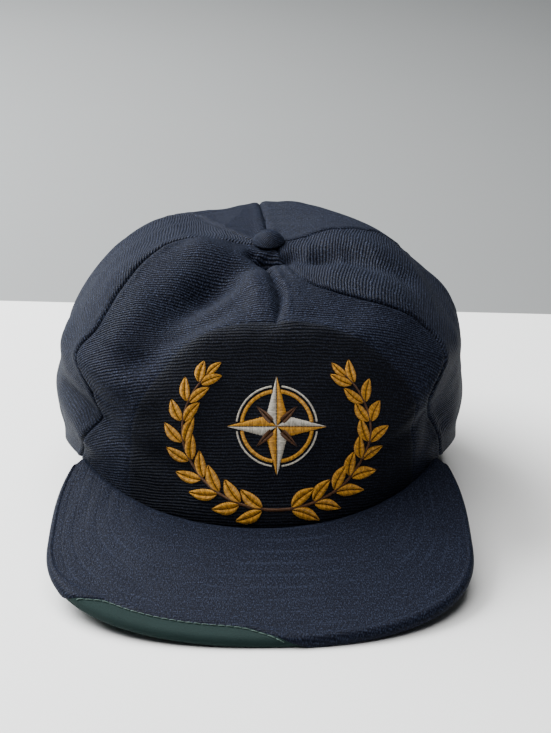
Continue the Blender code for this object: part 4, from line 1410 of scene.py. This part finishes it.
# %% Sweatband
BAND_HEIGHT = 0.0260
BAND_WALL = 0.0012
BAND_GAP = 0.0010
STRAP_TAB = 0.0120
BAND_ROWS = 25
BAND_COLUMNS = 361
BAND_CLOTH = twill_finish("navy_band_twill", (0.005, 0.006, 0.010), (0.016, 0.020, 0.032), 0.0009)
half = math.asin(OPENING_HALF_WIDTH / RIM_HALF_WIDTH) + (STRAP_TAB + 3 * GAP) / RIM_HALF_LENGTH
turn = np.linspace(-math.pi + half, math.pi - half, BAND_COLUMNS)
angle = np.repeat(turn[None, :], BAND_ROWS, axis=0)
rise = np.repeat(np.linspace(0.01, 1.0, BAND_ROWS)[:, None], BAND_COLUMNS, axis=1) * BAND_HEIGHT / CLIMB
outer = crown_point(angle, rise, CLOTH + BAND_GAP)
inner = crown_point(angle, rise, CLOTH + BAND_GAP + BAND_WALL)
maps = {"cloth": np.stack([run_length(outer, axis=1), rise * CLIMB], -1)[:, ::-1]}
band = wall_mesh("soft_sweatband", inner[:, ::-1], outer[thin][:, ::-1], maps, BAND_CLOTH)
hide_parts("sweatband")

# %% [markdown]
# The strap that closes the back is moulded plastic. It lies hidden behind the cap in the picture
# and keeps the frame's plain shape, so it only gets its finish here.

# %% Strap
plastic = Finish("navy_strap_plastic", 0.5)
grain = plastic.noise(plastic.body(), 900.0, 3.0, 0.6)
plastic.give("Base Color", plastic.mix(grain, (0.010, 0.013, 0.026), (0.018, 0.023, 0.040)))
plastic.give("Roughness", plastic.ramp(grain, 0.3, 0.7, 0.42, 0.58))
plastic.bump(grain, 0.0001, 0.4)
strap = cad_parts["snap_strap"]
strap.data.materials.clear()
strap.data.materials.append(plastic.material)
print("strap", strap.name, plastic.material.name)

# %% [markdown]
# ## The table, the light and the camera
# A white table ends in a slanting line, with a grey floor beyond it that is painted paler on the
# left, where the window's light falls.
# Two flat faces with a soft cloudy tone are enough, since only their tone and the line between
# them show.

# %% Table and floor
EDGE_LEFT = (-2.2, 0.441, 0.0)
EDGE_RIGHT = (2.2, 0.094, 0.0)
NEAR_Y = -1.6
FAR_Y = 2.6


def stage_mesh(name, points, material):
    """A flat face with four corners that only belongs to the picture."""
    piece = new_piece(name, points, [(0, 1, 2, 3)], material)
    return piece


paper = Finish("white_table", 0.6)
cloud = paper.noise(paper.body(), 3.0, 2.0, 0.5)
paper.give("Base Color", paper.mix(cloud, (0.77, 0.77, 0.76), (0.81, 0.81, 0.80)))
grey = Finish("grey_floor_painted_light", 0.8)
cloud = grey.noise(grey.body(), 3.0, 2.0, 0.5)
split = grey.node("ShaderNodeSeparateXYZ")
grey.put(grey.body(), split.inputs[0])
# painted light: the floor is paler to the left, towards the window
side = grey.ramp(split.outputs[0], -0.9, 0.9)
side = grey.plus(side, grey.times(cloud, 0.06))
grey.give("Base Color", grey.mix(side, (0.270, 0.276, 0.276), (0.105, 0.109, 0.109)))
stage_mesh("table", [(EDGE_LEFT[0], NEAR_Y, 0.0), (EDGE_RIGHT[0], NEAR_Y, 0.0), EDGE_RIGHT, EDGE_LEFT],
           paper.material)
stage_mesh("floor_beyond", [EDGE_LEFT, EDGE_RIGHT, (EDGE_RIGHT[0], FAR_Y, 0.0),
                            (EDGE_LEFT[0], FAR_Y, 0.0)], grey.material)
print("table from", NEAR_Y, "to", EDGE_LEFT[1], "at its left and", EDGE_RIGHT[1], "at its right")

# %% [markdown]
# Light comes from a large window up on the left and a little behind, so the front of the cap is
# its darkest side. A wide soft light from above fills the shadows, as a pale ceiling does. Area
# lamps were chosen because their size sets how soft the shadow's edge is.

# %% Light
LIGHTS = (              # name, place, target, size, power in watts, colour
    ("window", (-0.95, 0.60, 1.10), (0.0, 0.0, 0.05), (1.4, 1.0), 85.0, (0.97, 0.99, 1.0)),
    ("ceiling", (-0.30, 0.0, 1.7), (0.0, 0.0, 0.0), (2.0, 1.8), 55.0, (1.0, 1.0, 1.0)),
)
ROOM = (0.9, 0.95, 1.0)
ROOM_STRENGTH = 0.05


def area_light(name, place, target, size, power, colour):
    """A soft lamp with four corners that looks at its target."""
    data = bpy.data.lights.new(name, "AREA")
    data.shape = "RECTANGLE"
    data.size, data.size_y = size
    data.energy = power
    data.color = colour
    lamp = bpy.data.objects.new(name, data)
    lamp.location = place
    way = np.array(target) - np.array(place)
    flat = math.hypot(way[0], way[1])
    lamp.rotation_euler = (math.pi / 2 + math.atan2(way[2], flat), 0.0,
                           math.atan2(-way[0], way[1]))
    bpy.context.scene.collection.objects.link(lamp)


for light in LIGHTS:
    area_light(*light)
world = bpy.data.worlds.new("room")
world.use_nodes = True
background = world.node_tree.nodes["Background"]
background.inputs[0].default_value = (*ROOM, 1.0)
background.inputs[1].default_value = ROOM_STRENGTH
bpy.context.scene.world = world
print("lights", [light[0] for light in LIGHTS])

# %% [markdown]
# The camera stands in front of the cap, a little above it. It could be moved by eye until the
# view looks right. Here its place and lens were fitted to the outline of the visor and the crown,
# so the cap fills the frame in the same way.

# %% Camera
LENS = 88.42
CAMERA_PLACE = (0.00201, -0.80011, 0.37358)     # from where the form stands
CAMERA_DOWN = 0.3801
CAMERA_TURN = -0.0065
lens = bpy.data.cameras.new("camera")
lens.lens = LENS
lens.sensor_width = 36.0
lens.sensor_fit = "AUTO"
lens.clip_start = 0.01
camera = bpy.data.objects.new("camera", lens)
camera.location = SHIFT + CAMERA_PLACE
camera.rotation_euler = (math.pi / 2 - CAMERA_DOWN, 0.0, CAMERA_TURN)
bpy.context.scene.collection.objects.link(camera)
bpy.context.scene.camera = camera
print("camera at", tuple(camera.location))
